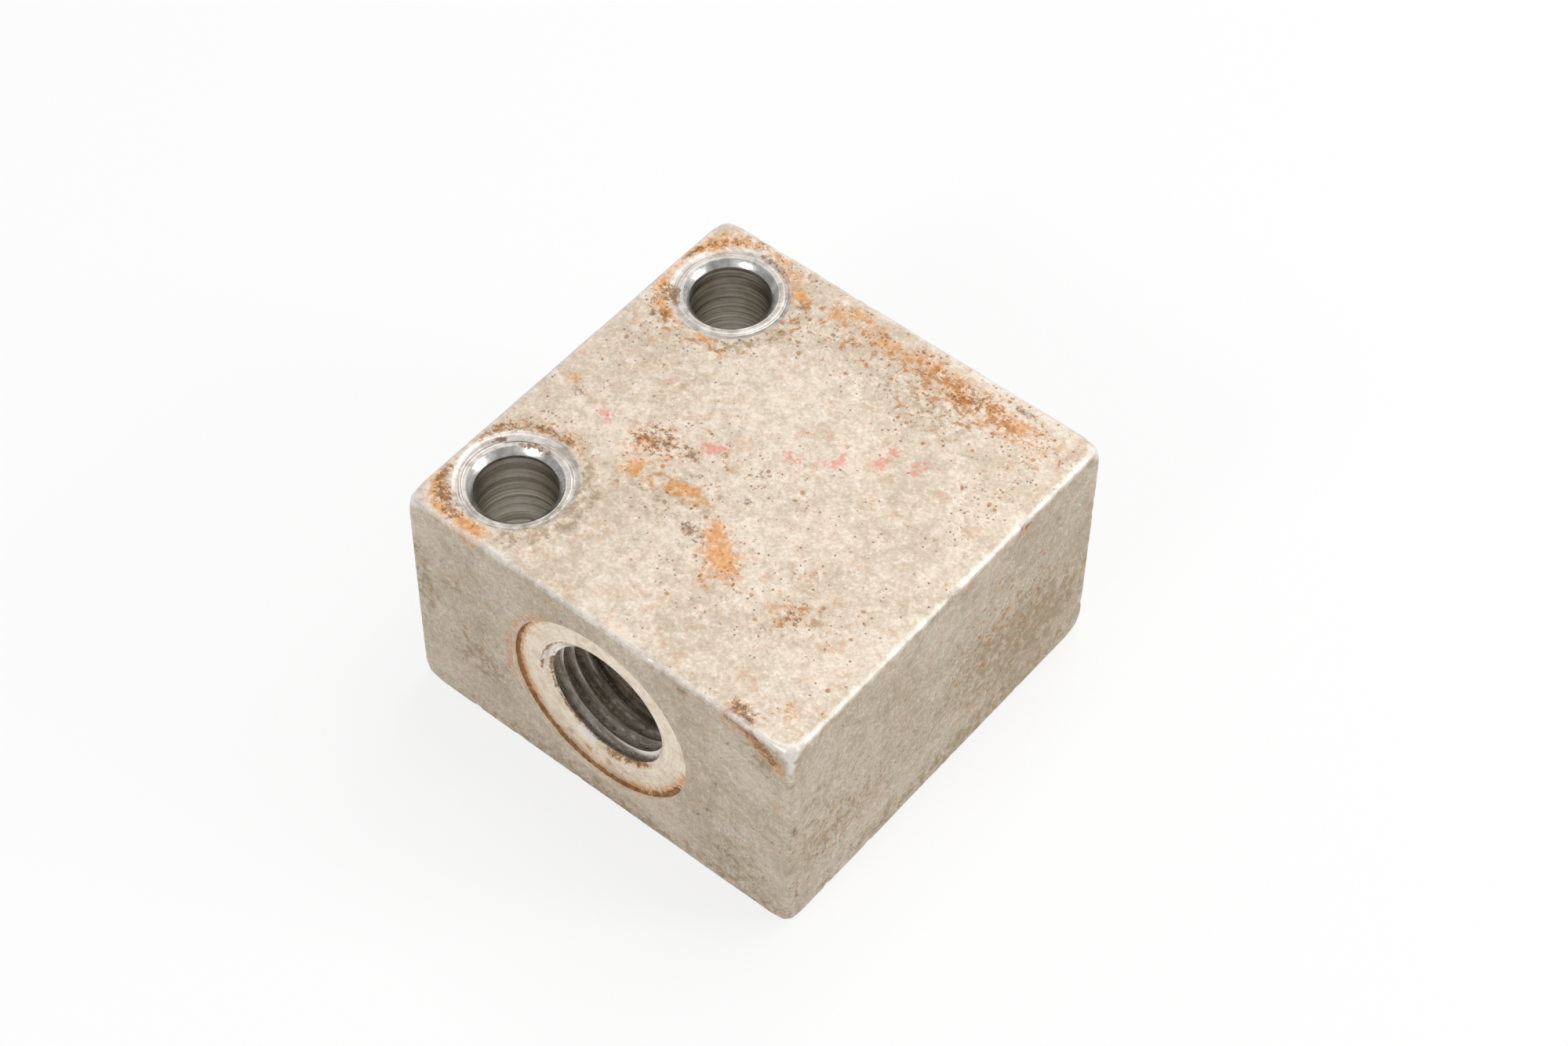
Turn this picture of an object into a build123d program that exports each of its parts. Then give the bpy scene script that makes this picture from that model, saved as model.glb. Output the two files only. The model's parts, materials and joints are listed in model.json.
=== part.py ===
"""Machined mounting block: one piece of aluminium with two screw holes and one tapped port.

The block rests on Z = 0 with its centre on the Z axis. The port opens in the -Y face. The two
screw holes stand in a line along the -X edge and run straight down through the block.
Lengths are in millimetres and angles in degrees.
"""
import os
from math import radians, tan

from build123d import *

# Block, milled square from bar
block_width = 40.0  # along X
block_depth = 40.0  # along Y
block_height = 24.0  # along Z
edge_break = 0.35  # filed break on every outside edge

# Screw holes, for two M6 socket head screws
screw_hole_diameter = 7.0
screw_hole_spacing = 27.0  # centre to centre, along Y
screw_hole_edge_distance = 6.0  # from the -X face to the hole centres
screw_hole_chamfer = 0.5  # at both ends of each hole
screw_seat_diameter = 10.4  # shallow ring that the turning screw head has left round the hole
screw_seat_depth = 0.1

# Port, G 1/4 parallel pipe thread: Whitworth form, 19 threads to the inch
thread_major_diameter = 13.157
thread_pitch = 25.4 / 19
thread_flank_angle = 55.0
thread_length = 14.0  # full thread, measured from the port face
drill_run_on = 4.0  # drilled wall past the last full thread
drill_tip_angle = 118.0
countersink_angle = 120.0  # cut to the outside of the thread
spot_face_diameter = 18.6  # flat seat for the sealing washer of the fitting
spot_face_depth = 0.7

# Screw holes, worked out from the sizes above
screw_hole_radius = screw_hole_diameter / 2
screw_hole_row_x = screw_hole_edge_distance - block_width / 2

# Port, worked out in the same way: it is centred on its face, and the hole before tapping has the
# radius of the thread's crests, two thirds of the sharp thread's height inside its outer radius
port_height = block_height / 2
spot_face_radius = spot_face_diameter / 2
thread_major_radius = thread_major_diameter / 2
sharp_thread_height = thread_pitch / (2 * tan(radians(thread_flank_angle / 2)))
thread_minor_radius = thread_major_radius - 2 / 3 * sharp_thread_height
countersink_depth = (thread_major_radius - thread_minor_radius) / tan(radians(countersink_angle / 2))
mouth_depth = spot_face_depth + countersink_depth
drill_depth = thread_length + drill_run_on
drill_tip_depth = thread_minor_radius / tan(radians(drill_tip_angle / 2))

with BuildPart() as mounting_block:
    # Blank, with its edges broken
    with BuildSketch() as blank_outline:
        Rectangle(block_width, block_depth)
    extrude(amount=block_height)
    chamfer(mounting_block.edges(), edge_break)

    # Screw holes, each with the ring of its screw head in the top face
    with Locations((screw_hole_row_x, 0, block_height)):
        with GridLocations(0, screw_hole_spacing, 1, 2):
            CounterBoreHole(screw_hole_radius, screw_seat_diameter / 2, screw_seat_depth)
    hole_rims = (
        mounting_block.edges(Select.LAST)
        .filter_by(GeomType.CIRCLE)
        .filter_by(lambda rim: abs(rim.radius - screw_hole_radius) < 1e-6)
    )
    chamfer(hole_rims, screw_hole_chamfer)

    # Port: half its section, depth from the port face against radius, turned about the port axis
    port_plane = Plane(
        origin=(0, -block_depth / 2, port_height), x_dir=(0, 1, 0), z_dir=(1, 0, 0)
    )
    with BuildSketch(port_plane) as port_section:
        with BuildLine():
            Polyline(
                (0, 0),
                (0, spot_face_radius),
                (spot_face_depth, spot_face_radius),
                (spot_face_depth, thread_major_radius),
                (mouth_depth, thread_minor_radius),
                (drill_depth, thread_minor_radius),
                (drill_depth + drill_tip_depth, 0),
                close=True,
            )
        make_face()
    revolve(axis=Axis(port_plane.origin, port_plane.x_dir), mode=Mode.SUBTRACT)

mounting_block.part.label = "mounting_block"

os.makedirs("parts", exist_ok=True)
export_step(mounting_block.part, "parts/mounting_block.step")
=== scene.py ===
"""Looks of the machined mounting block: one worn, rust-stained piece of aluminium.

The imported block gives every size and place. One closed mesh stands for it, worked in millimetres
about the block's middle: six flat sides with worn edges, two screw holes ringed by the marks of
their screw heads, and a spot-faced, countersunk and tapped port.
"""
import json
import logging
import math
from collections.abc import Sequence
from dataclasses import dataclass, field
from enum import Enum
from typing import ClassVar

import bmesh
import bpy
import numpy as np
from mathutils import Matrix, Vector, geometry, noise


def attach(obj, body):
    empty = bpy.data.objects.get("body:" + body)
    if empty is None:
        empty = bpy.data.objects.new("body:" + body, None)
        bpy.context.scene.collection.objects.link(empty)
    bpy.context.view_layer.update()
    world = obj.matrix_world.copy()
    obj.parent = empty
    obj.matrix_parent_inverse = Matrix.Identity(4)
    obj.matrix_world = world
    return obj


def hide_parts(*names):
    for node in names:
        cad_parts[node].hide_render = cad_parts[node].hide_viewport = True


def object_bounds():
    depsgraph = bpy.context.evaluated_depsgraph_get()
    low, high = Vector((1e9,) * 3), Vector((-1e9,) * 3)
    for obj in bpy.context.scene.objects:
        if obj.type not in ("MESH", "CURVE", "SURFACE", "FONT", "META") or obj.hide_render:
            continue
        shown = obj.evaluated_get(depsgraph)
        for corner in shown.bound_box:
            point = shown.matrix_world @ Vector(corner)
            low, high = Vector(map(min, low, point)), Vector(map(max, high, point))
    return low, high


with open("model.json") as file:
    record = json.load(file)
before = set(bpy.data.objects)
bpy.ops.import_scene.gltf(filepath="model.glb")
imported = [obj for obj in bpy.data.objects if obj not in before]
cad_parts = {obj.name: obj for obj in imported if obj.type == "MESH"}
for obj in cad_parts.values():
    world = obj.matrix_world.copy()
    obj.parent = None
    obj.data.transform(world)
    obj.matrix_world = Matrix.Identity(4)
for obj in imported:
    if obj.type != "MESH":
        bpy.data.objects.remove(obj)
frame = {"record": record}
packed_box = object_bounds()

LOG = logging.getLogger("mounting_block")
MM = 0.001  # metres in a millimetre
MERGE_DISTANCE = 0.002  # millimetres, under which two points are one
SHARP_ANGLE = math.radians(32)  # faces that meet at more than this keep a crisp edge

Colour = tuple[float, float, float]
Triple = tuple[float, float, float]
Pair = tuple[float, float]

WHITE = (1.0, 1.0, 1.0, 1.0)
PAPER = (0.86, 0.86, 0.86, 1.0)  # the floor's own colour
FLOOR_DROP = 1e-5  # metres that the floor lies under the block, so that the two don't share a plane
THREAD_DRIFT: Pair = (-0.2, -0.2)  # from the port's centre to the thread's, in millimetres


class Zone(Enum):
    """The stretches of skin that wear a finish of their own."""

    TOP = 0
    PORT_SIDE = 1
    PLAIN_SIDE = 2
    SEAT = 3
    SPOT_FACE = 4
    BORE = 5
    THREAD = 6
    CHAMFER = 7


class Tone(Enum):
    """What a mark on the block is made of, or the painted light or shade that it stands for. The value names
    the field that the finishes read.
    """

    ORANGE = "orange_rust"
    BROWN = "brown_rust"
    # Dirt; in the thread, painted shade together with dirt in the roots
    DIRT_AND_SHADE = "dirt"
    PAINT = "red_paint"
    # Worn bare metal, and painted highlights on the thread's crests and on the countersink
    WEAR_AND_GLINT = "bare_metal"
    BLACK = "black"
    SPECKS = "rust_specks"


# ---------------------------------------------------------------------------------------------
# Shader tools
# ---------------------------------------------------------------------------------------------


class Value:
    """A shader socket that takes part in plain arithmetic."""

    def __init__(self, shader: "Shader", socket: bpy.types.NodeSocket) -> None:
        """Keeps the socket and the shader that it belongs to.

        Args:
            shader: The tree in which further nodes are made.
            socket: The output socket to work with.
        """
        self.shader = shader
        self.socket = socket

    def _math(self, operation: str, *terms: "Value | float") -> "Value":
        """Adds one Math node.

        Args:
            operation: The node's operation.
            terms: Its inputs, in order.

        Returns:
            The result.
        """
        return self.shader.node("ShaderNodeMath", {"operation": operation}, dict(enumerate(terms)))

    def __add__(self, other: "Value | float") -> "Value":
        """Sum."""
        return self._math("ADD", self, other)

    def __radd__(self, other: float) -> "Value":
        """Sum with a number on the left."""
        return self._math("ADD", other, self)

    def __sub__(self, other: "Value | float") -> "Value":
        """Difference."""
        return self._math("SUBTRACT", self, other)

    def __rsub__(self, other: float) -> "Value":
        """Difference from a number."""
        return self._math("SUBTRACT", other, self)

    def __mul__(self, other: "Value | float") -> "Value":
        """Product."""
        return self._math("MULTIPLY", self, other)

    def __rmul__(self, other: float) -> "Value":
        """Product with a number on the left."""
        return self._math("MULTIPLY", other, self)

    def larger(self, other: "Value | float") -> "Value":
        """The larger of the two."""
        return self._math("MAXIMUM", self, other)

    def ramp(self, low: "Value | float", high: "Value | float") -> "Value":
        """Smooth step.

        Args:
            low: The value that gives 0.
            high: The value that gives 1.

        Returns:
            A value from 0 to 1.
        """
        settings = {"interpolation_type": "SMOOTHSTEP", "clamp": True}
        return self.shader.node(
            "ShaderNodeMapRange", settings, {"Value": self, "From Min": low, "From Max": high}
        )


class Shader:
    """The node tree of one material, and the few ways in which nodes are added to it."""

    def __init__(self, tree: bpy.types.NodeTree) -> None:
        """Empties the tree.

        Args:
            tree: The tree to fill.
        """
        self.tree = tree
        tree.nodes.clear()

    def node(
        self, kind: str, settings: dict | None = None, inputs: dict | None = None, output: int | str = 0
    ) -> Value:
        """Adds one node.

        Args:
            kind: Blender's type name of the node.
            settings: Its properties, which are set first.
            inputs: Numbers, colours or values for its sockets, by name or index.
            output: The socket that is handed back.

        Returns:
            The chosen output.
        """
        made = self.tree.nodes.new(kind)
        for name, setting in (settings or {}).items():
            setattr(made, name, setting)
        for name, given in (inputs or {}).items():
            if isinstance(given, Value):
                self.tree.links.new(given.socket, made.inputs[name])
            else:
                made.inputs[name].default_value = given
        return Value(self, made.outputs[output]) if made.outputs else Value(self, made.inputs[0])

    def place(self) -> Value:
        """The place on the block, in millimetres."""
        place = self.node("ShaderNodeTexCoord", output="Object")
        return self.node("ShaderNodeVectorMath", {"operation": "SCALE"}, {0: place, "Scale": 1 / MM})

    def stretched(self, place: Value, scale: Triple, turn: Triple = (0.0, 0.0, 0.0)) -> Value:
        """The place turned, then scaled along each axis.

        Args:
            place: The place to change.
            scale: Scale along each axis.
            turn: Turn about each axis, in degrees.

        Returns:
            The changed place.
        """
        turned = self.node(
            "ShaderNodeMapping",
            {"vector_type": "POINT"},
            {"Vector": place, "Rotation": tuple(math.radians(angle) for angle in turn)},
        )
        return self.node("ShaderNodeVectorMath", {"operation": "MULTIPLY"}, {0: turned, 1: scale})

    def noise(self, place: Value, grain: "Grain") -> Value:
        """Soft noise from 0 to 1.

        Args:
            place: Where it is read.
            grain: The pattern.

        Returns:
            The noise.
        """
        inputs = {"Vector": place, "Scale": grain.scale, "Detail": grain.detail}
        inputs |= {"Roughness": grain.rough, "Distortion": grain.warp}
        return self.node("ShaderNodeTexNoise", {"noise_dimensions": "3D"}, inputs)

    def mark(self, tone: Tone) -> Value:
        """The strength of one kind of mark, from the mesh."""
        return self.field(tone.value)

    def field(self, name: str) -> Value:
        """A number that the mesh holds at each of its points.

        Args:
            name: The field's name.

        Returns:
            The number.
        """
        settings = {"attribute_type": "GEOMETRY", "attribute_name": name}
        return self.node("ShaderNodeAttribute", settings, output="Fac")

    def blend(self, share: "Value | float", first: "Value | Colour", second: "Value | Colour") -> Value:
        """A mix of two colours.

        Args:
            share: Share of the second, from 0 to 1.
            first: The colour at 0.
            second: The colour at 1.

        Returns:
            The mixed colour.
        """
        first, second = (c if isinstance(c, Value) else (*c, 1.0) for c in (first, second))
        return self.node("ShaderNodeMix", {"data_type": "RGBA"}, {0: share, 6: first, 7: second}, 2)

    def shade(self, colour: "Value | Colour", level: Value) -> Value:
        """A colour made lighter or darker.

        Args:
            colour: The colour.
            level: What it is multiplied by.

        Returns:
            The changed colour.
        """
        return self.node("ShaderNodeVectorMath", {"operation": "SCALE"}, {0: colour, "Scale": level})

    def bump(self, height: Value, depth: float, strength: float = 1.0) -> Value:
        """A normal that follows a height.

        Args:
            height: The height, from 0 to 1.
            depth: What a height of 1 measures, in millimetres.
            strength: Share of the effect.

        Returns:
            The normal.
        """
        inputs = {"Height": height, "Distance": depth * MM, "Strength": strength}
        return self.node("ShaderNodeBump", {}, inputs)

    def surface(self, colour: Value, roughness: Value, metallic: Value, normal: Value) -> None:
        """Ends the tree in a metal surface.

        Args:
            colour: Base colour.
            roughness: Roughness.
            metallic: Share of bare metal.
            normal: Surface normal.
        """
        inputs = {"Base Color": colour, "Roughness": roughness, "Metallic": metallic, "Normal": normal}
        skin = self.node("ShaderNodeBsdfPrincipled", {}, inputs)
        self.node("ShaderNodeOutputMaterial", {}, {"Surface": skin})


# ---------------------------------------------------------------------------------------------
# Finishes
# ---------------------------------------------------------------------------------------------


@dataclass(frozen=True)
class Palette:
    """Colours of what lies on the metal, in linear light."""

    orange: Colour = (0.840, 0.330, 0.022)
    ochre: Colour = (0.560, 0.215, 0.035)
    brown: Colour = (0.320, 0.125, 0.025)
    # Also the colour of the painted shade in the thread's roots
    dark_brown: Colour = (0.090, 0.042, 0.016)
    dirt: Colour = (0.290, 0.195, 0.085)
    paint: Colour = (0.760, 0.230, 0.180)
    black: Colour = (0.030, 0.024, 0.018)
    # Worn bare metal, and the colour of the painted highlights on the thread's crests and countersink
    bare: Colour = (0.880, 0.850, 0.810)


PALETTE = Palette()


@dataclass(frozen=True)
class Grain:
    """One pattern of noise."""

    scale: float  # lumps to the millimetre
    detail: float = 4.0  # octaves
    rough: float = 0.5  # weight of the finer octaves
    warp: float = 0.0  # how far the pattern is bent


@dataclass(frozen=True)
class Cover:
    """How one kind of mark covers a finish."""

    low: float  # strength at which its tint starts
    high: float  # strength at which it is full
    share: float  # how opaque it is where it is full


@dataclass(frozen=True)
class Specks:
    """Separate round specks, one to a cell at most."""

    scale: float  # cells to the millimetre
    size: float  # radius of the largest speck, in cells

    SMALLEST: ClassVar[float] = 0.35  # radius of the smallest, as a share of the largest
    CORE: ClassVar[float] = 0.55  # share of its radius at which a speck starts to fade
    WOBBLE: ClassVar[float] = 0.35  # how far an outline is bent, in cells
    BENDS: ClassVar[float] = 3.0  # bends to the cell
    SOFTNESS: ClassVar[float] = 0.02  # how sharply the draw decides whether a cell holds one

    def cover(self, shader: Shader, place: Value, density: Value) -> Value:
        """Strews the specks.

        Args:
            shader: The tree that they are made in.
            place: Where they are read.
            density: Share of the cells that hold a speck.

        Returns:
            The cover, from 0 to 1.
        """
        bends = {"Vector": place, "Scale": self.BENDS * self.scale, "Detail": 2.0}
        bent = shader.node("ShaderNodeTexNoise", {}, bends, "Color")
        by = {0: bent, "Scale": self.WOBBLE / self.scale}
        offset = shader.node("ShaderNodeVectorMath", {"operation": "SCALE"}, by)
        warped = shader.node("ShaderNodeVectorMath", {"operation": "ADD"}, {0: place, 1: offset})
        inputs = {"Vector": warped, "Scale": self.scale, "Randomness": 1.0}
        cell = shader.node("ShaderNodeTexVoronoi", {"feature": "F1"}, inputs, "Distance")
        draw = shader.node("ShaderNodeTexVoronoi", {"feature": "F1"}, inputs, "Color")
        luck, grade = (shader.node("ShaderNodeSeparateColor", {}, {"Color": draw}, i) for i in (0, 1))
        reach = (self.SMALLEST + (1 - self.SMALLEST) * grade) * self.size
        inside = 1.0 - cell.ramp(reach * self.CORE, reach)
        return inside * (1.0 - luck.ramp(density - self.SOFTNESS, density + self.SOFTNESS))


class Coats:
    """A finish in the making: its base colour, and the coats of dirt, rust, painted highlight and painted shade
    laid on it in turn.
    """

    BREAK_UP: ClassVar[float] = 4.2  # how strongly noise breaks a mark up
    BROKEN: ClassVar[Pair] = (0.02, 0.30)  # strengths from which, and at which, a mark is broken up
    BLACK: ClassVar[Cover] = Cover(0.25, 0.7, 0.9)

    def __init__(self, name: str) -> None:
        """Starts an empty material.

        Args:
            name: The material's name.
        """
        self.material = bpy.data.materials.new(name)
        self.material.use_nodes = True
        self.shader = Shader(self.material.node_tree)
        self.place = self.shader.place()
        self.colour: Value | None = None

    def lay(self, cover: Value, share: float, tint: "Value | Colour") -> None:
        """Lays one coat over what is there.

        Args:
            cover: Where it lies, from 0 to 1.
            share: How opaque it is.
            tint: Its colour.
        """
        self.colour = self.shader.blend(cover * share, self.colour, tint)

    def stain(self, tone: Tone, grain: Value, cover: Cover, tint: "Value | Colour") -> Value:
        """Lays the marks of one tone: a thin tint at their edges, full where they and the grain are strong.

        Args:
            tone: What the marks are made of.
            grain: Noise from 0 to 1 that breaks them up.
            cover: How they cover.
            tint: Their colour.

        Returns:
            Where they lie, from 0 to 1.
        """
        mark = self.shader.mark(tone)
        uneven = mark + (grain - 0.5) * self.BREAK_UP * mark.ramp(*self.BROKEN)
        found = uneven.ramp(cover.low, cover.high)
        self.lay(found, cover.share, tint)
        return found

    def blacken(self) -> Value:
        """Lays the black marks.

        Returns:
            Where they lie, from 0 to 1.
        """
        black = self.shader.mark(Tone.BLACK).ramp(self.BLACK.low, self.BLACK.high)
        self.lay(black, self.BLACK.share, PALETTE.black)
        return black


@dataclass(frozen=True)
class WeatheredFinish:
    """Dull machined aluminium with mottling, fine marks, rust, dirt, paint and bright worn edges."""

    name: str
    base: Colour
    shadow: Colour
    grain_scale: Triple
    grain_turn: Triple
    grain_depth: float
    pitting: float
    metal: float
    roughness: float

    CLOUD: ClassVar[Grain] = Grain(0.14, 3.0, 0.55)
    MOTTLE: ClassVar[Grain] = Grain(0.95, 6.0, 0.66, 0.5)
    FINE: ClassVar[Grain] = Grain(3.4, 4.0, 0.62)
    LINES: ClassVar[Grain] = Grain(1.0, 4.0, 0.6)
    CRUMBS: ClassVar[Grain] = Grain(2.6, 5.0, 0.72)
    TAN: ClassVar[Grain] = Grain(0.55, 5.0, 0.7, 0.8)
    GRAIN: ClassVar[Grain] = Grain(1.05, 6.0, 0.72, 0.4)
    CRUST: ClassVar[Grain] = Grain(1.0, 6.0, 0.78, 0.6)
    FLAKES: ClassVar[Grain] = Grain(1.9, 5.0, 0.7)
    DIRT_AND_SHADE: ClassVar[Cover] = Cover(0.10, 0.95, 0.70)
    ORANGE: ClassVar[Cover] = Cover(0.10, 0.90, 0.72)
    BROWN: ClassVar[Cover] = Cover(0.22, 0.80, 0.72)
    RUST: ClassVar[Cover] = Cover(0.645, 0.715, 0.78)
    PAINT: ClassVar[Cover] = Cover(0.12, 0.62, 0.66)
    WORN: ClassVar[Cover] = Cover(0.15, 1.10, 0.80)
    TANNED: ClassVar[Cover] = Cover(0.53, 0.66, 0.30)
    DOTS: ClassVar[Specks] = Specks(1.15, 0.36)
    DUST: ClassVar[Specks] = Specks(2.7, 0.42)

    def build(self) -> bpy.types.Material:
        """Makes the material.

        Returns:
            The material.
        """
        coats = Coats(self.name)
        shader, place = coats.shader, coats.place
        cloud, mottle, fine = (shader.noise(place, grain) for grain in (self.CLOUD, self.MOTTLE, self.FINE))
        lines = shader.noise(shader.stretched(place, self.grain_scale, self.grain_turn), self.LINES)
        level = 0.96 + (cloud - 0.5) * 0.18 + (mottle - 0.5) * 0.46 + (fine - 0.5) * 0.60
        level = level + (lines - 0.5) * self.grain_depth
        tint = (0.35 * cloud + 0.45 * mottle + 0.20 * fine).ramp(0.38, 0.60)
        coats.colour = shader.shade(shader.blend(tint, self.shadow, self.base), level)
        coats.lay(fine.ramp(0.56, 0.74) * mottle.ramp(0.42, 0.60), 0.55, PALETTE.bare)
        crumbs = shader.noise(place, self.CRUMBS)
        tan = shader.noise(place, self.TAN).ramp(self.TANNED.low, self.TANNED.high)
        coats.lay(tan * self.pitting, self.TANNED.share, PALETTE.ochre)

        # Marks, the lightest first
        grain = shader.noise(place, self.GRAIN)
        dirt = coats.stain(Tone.DIRT_AND_SHADE, grain, self.DIRT_AND_SHADE, PALETTE.dirt)
        warm = shader.blend(crumbs.ramp(0.42, 0.60), PALETTE.orange, PALETTE.ochre)
        orange = coats.stain(Tone.ORANGE, 0.5 * grain + 0.5 * crumbs, self.ORANGE, warm)
        umber = shader.blend(crumbs.ramp(0.44, 0.62), PALETTE.brown, PALETTE.dark_brown)
        brown = coats.stain(Tone.BROWN, 0.35 * grain + 0.65 * crumbs, self.BROWN, umber)

        # Rust flecks and specks, thick where the mesh says so
        thick = shader.mark(Tone.SPECKS)
        crust = (shader.noise(place, self.CRUST) + thick * 0.20).ramp(self.RUST.low, self.RUST.high)
        coats.lay(
            crust, self.RUST.share, shader.blend(crumbs.ramp(0.42, 0.58), PALETTE.brown, PALETTE.ochre)
        )
        density = thick * 0.7 + 0.03 * self.pitting
        dots = self.DOTS.cover(shader, place, density)
        dust = self.DUST.cover(shader, place, density * 1.2)
        coats.lay(dots, 0.75, shader.blend(grain.ramp(0.40, 0.60), PALETTE.brown, PALETTE.ochre))
        coats.lay(dust, 0.70, shader.blend(crumbs.ramp(0.40, 0.60), PALETTE.dark_brown, PALETTE.brown))
        paint = coats.stain(Tone.PAINT, shader.noise(place, self.FLAKES), self.PAINT, PALETTE.paint)
        bare = (shader.mark(Tone.WEAR_AND_GLINT) + (mottle - 0.5) * 1.1).ramp(self.WORN.low, self.WORN.high)
        coats.lay(bare, self.WORN.share, PALETTE.bare)
        black = coats.blacken()

        covered = (orange * 0.7).larger(crust).larger(brown).larger(dirt * 0.6)
        covered = covered.larger(paint * 0.8).larger(black).larger(dots)
        rough = self.roughness + 0.20 * (mottle - 0.5) + 0.25 * covered - 0.10 * bare
        height = 0.5 * mottle + 0.45 * fine + lines * self.grain_depth + 0.3 * brown - 0.4 * dust
        shader.surface(coats.colour, rough, self.metal * (1.0 - covered), shader.bump(height, 0.06, 0.6))
        return coats.material


@dataclass(frozen=True)
class TurnedFinish:
    """Bare metal cut by a turning tool or rubbed by a screw head: fine rings about one centre."""

    name: str
    base: Colour
    shadow: Colour
    ring_pitch: float
    ring_depth: float
    contrast: float
    metal: float
    roughness: float

    BEND: ClassVar[Grain] = Grain(0.35, 2.0)
    RINGS: ClassVar[Grain] = Grain(1.0, 4.0, 0.65)
    MOTTLE: ClassVar[Grain] = Grain(0.9, 5.0, 0.62, 0.5)
    FINE: ClassVar[Grain] = Grain(3.0, 4.0, 0.6)
    GRAIN: ClassVar[Grain] = Grain(1.25, 6.0, 0.72, 0.4)
    CRUMBS: ClassVar[Grain] = Grain(2.8, 4.0, 0.7)
    DIRT_AND_SHADE: ClassVar[Cover] = Cover(0.20, 1.10, 0.62)
    ORANGE: ClassVar[Cover] = Cover(0.10, 0.90, 0.66)
    BROWN: ClassVar[Cover] = Cover(0.14, 0.66, 0.82)
    WORN: ClassVar[Cover] = Cover(0.15, 1.0, 0.80)

    def build(self) -> bpy.types.Material:
        """Makes the material.

        Returns:
            The material.
        """
        coats = Coats(self.name)
        shader, place = coats.shader, coats.place
        reach = shader.field("ring_radius")
        bend = (shader.noise(place, self.BEND) - 0.5) * 0.5
        ring_place = shader.node("ShaderNodeCombineXYZ", {}, {"X": reach * (1 / self.ring_pitch) + bend})
        rings = shader.noise(ring_place, self.RINGS)
        mottle, fine = (shader.noise(place, grain) for grain in (self.MOTTLE, self.FINE))
        level = 0.94 + (mottle - 0.5) * 0.30 + (rings - 0.5) * self.contrast + (fine - 0.5) * 0.30
        tint = (mottle + rings * 0.5).ramp(0.60, 0.85)
        coats.colour = shader.shade(shader.blend(tint, self.shadow, self.base), level)

        grain, crumbs = (shader.noise(place, pattern) for pattern in (self.GRAIN, self.CRUMBS))
        dirt = coats.stain(Tone.DIRT_AND_SHADE, grain, self.DIRT_AND_SHADE, PALETTE.dirt)
        mixed = 0.5 * grain + 0.5 * crumbs
        warm = shader.blend(crumbs.ramp(0.40, 0.62), PALETTE.orange, PALETTE.ochre)
        orange = coats.stain(Tone.ORANGE, mixed, self.ORANGE, warm)
        umber = shader.blend(grain.ramp(0.44, 0.64), PALETTE.brown, PALETTE.dark_brown)
        brown = coats.stain(Tone.BROWN, mixed, self.BROWN, umber)
        # Worn bare metal; on the countersink, a painted highlight
        bare = (shader.mark(Tone.WEAR_AND_GLINT) + (fine - 0.5) * 1.1).ramp(self.WORN.low, self.WORN.high)
        coats.lay(bare, self.WORN.share, PALETTE.bare)
        black = coats.blacken()

        covered = (orange * 0.7).larger(brown).larger(dirt * 0.8).larger(black)
        rough = self.roughness + 0.22 * (mottle - 0.5) + 0.3 * covered - 0.12 * bare
        normal = shader.bump(rings * self.ring_depth + 0.25 * mottle, 0.03, 0.5)
        shader.surface(coats.colour, rough, self.metal * (1.0 - covered), normal)
        return coats.material


@dataclass(frozen=True)
class BoredFinish:
    """A drilled or tapped wall: fine tool rings along its depth, old oil and dirt, painted shade in the
    thread's roots and painted highlights on its crests.
    """

    name: str
    base: Colour
    shadow: Colour
    axis: Triple
    ring_pitch: float
    roughness: float

    RINGS: ClassVar[Grain] = Grain(1.0, 4.0, 0.6)
    MOTTLE: ClassVar[Grain] = Grain(0.7, 5.0, 0.6, 0.4)
    GRAIN: ClassVar[Grain] = Grain(1.6, 5.0, 0.66)
    BROWN: ClassVar[Cover] = Cover(0.3, 0.9, 0.80)
    DIRT_AND_SHADE: ClassVar[Cover] = Cover(0.2, 1.0, 0.70)
    DRAWN_OUT: ClassVar[float] = 0.06  # how fine the rings are round the wall

    def build(self) -> bpy.types.Material:
        """Makes the material.

        Returns:
            The material.
        """
        coats = Coats(self.name)
        shader, place = coats.shader, coats.place
        along = tuple(part / self.ring_pitch + self.DRAWN_OUT for part in self.axis)
        rings = shader.noise(shader.stretched(place, along), self.RINGS)
        mottle = shader.noise(place, self.MOTTLE)
        level = 0.94 + (mottle - 0.5) * 0.35 + (rings - 0.5) * 1.8
        tint = (rings * 0.8 + mottle * 0.2).ramp(0.38, 0.58)
        coats.colour = shader.shade(shader.blend(tint, self.shadow, self.base), level)

        grain = shader.noise(place, self.GRAIN)
        brown = coats.stain(Tone.BROWN, grain, self.BROWN, PALETTE.brown)
        # In the thread: painted shade and dirt in the roots, in dark brown
        dirt = coats.stain(Tone.DIRT_AND_SHADE, grain, self.DIRT_AND_SHADE, PALETTE.dark_brown)
        # Painted highlights on the thread's crests and on the countersink at its mouth
        bare = shader.mark(Tone.WEAR_AND_GLINT)
        coats.lay(bare, 0.7, PALETTE.bare)
        covered = (brown * 0.8).larger(dirt * 0.8)
        rough = self.roughness + 0.25 * (mottle - 0.5) + 0.3 * covered - 0.10 * bare
        shader.surface(coats.colour, rough, 1.0 - covered, shader.bump(rings + 0.3 * mottle, 0.02, 0.5))
        return coats.material


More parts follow.
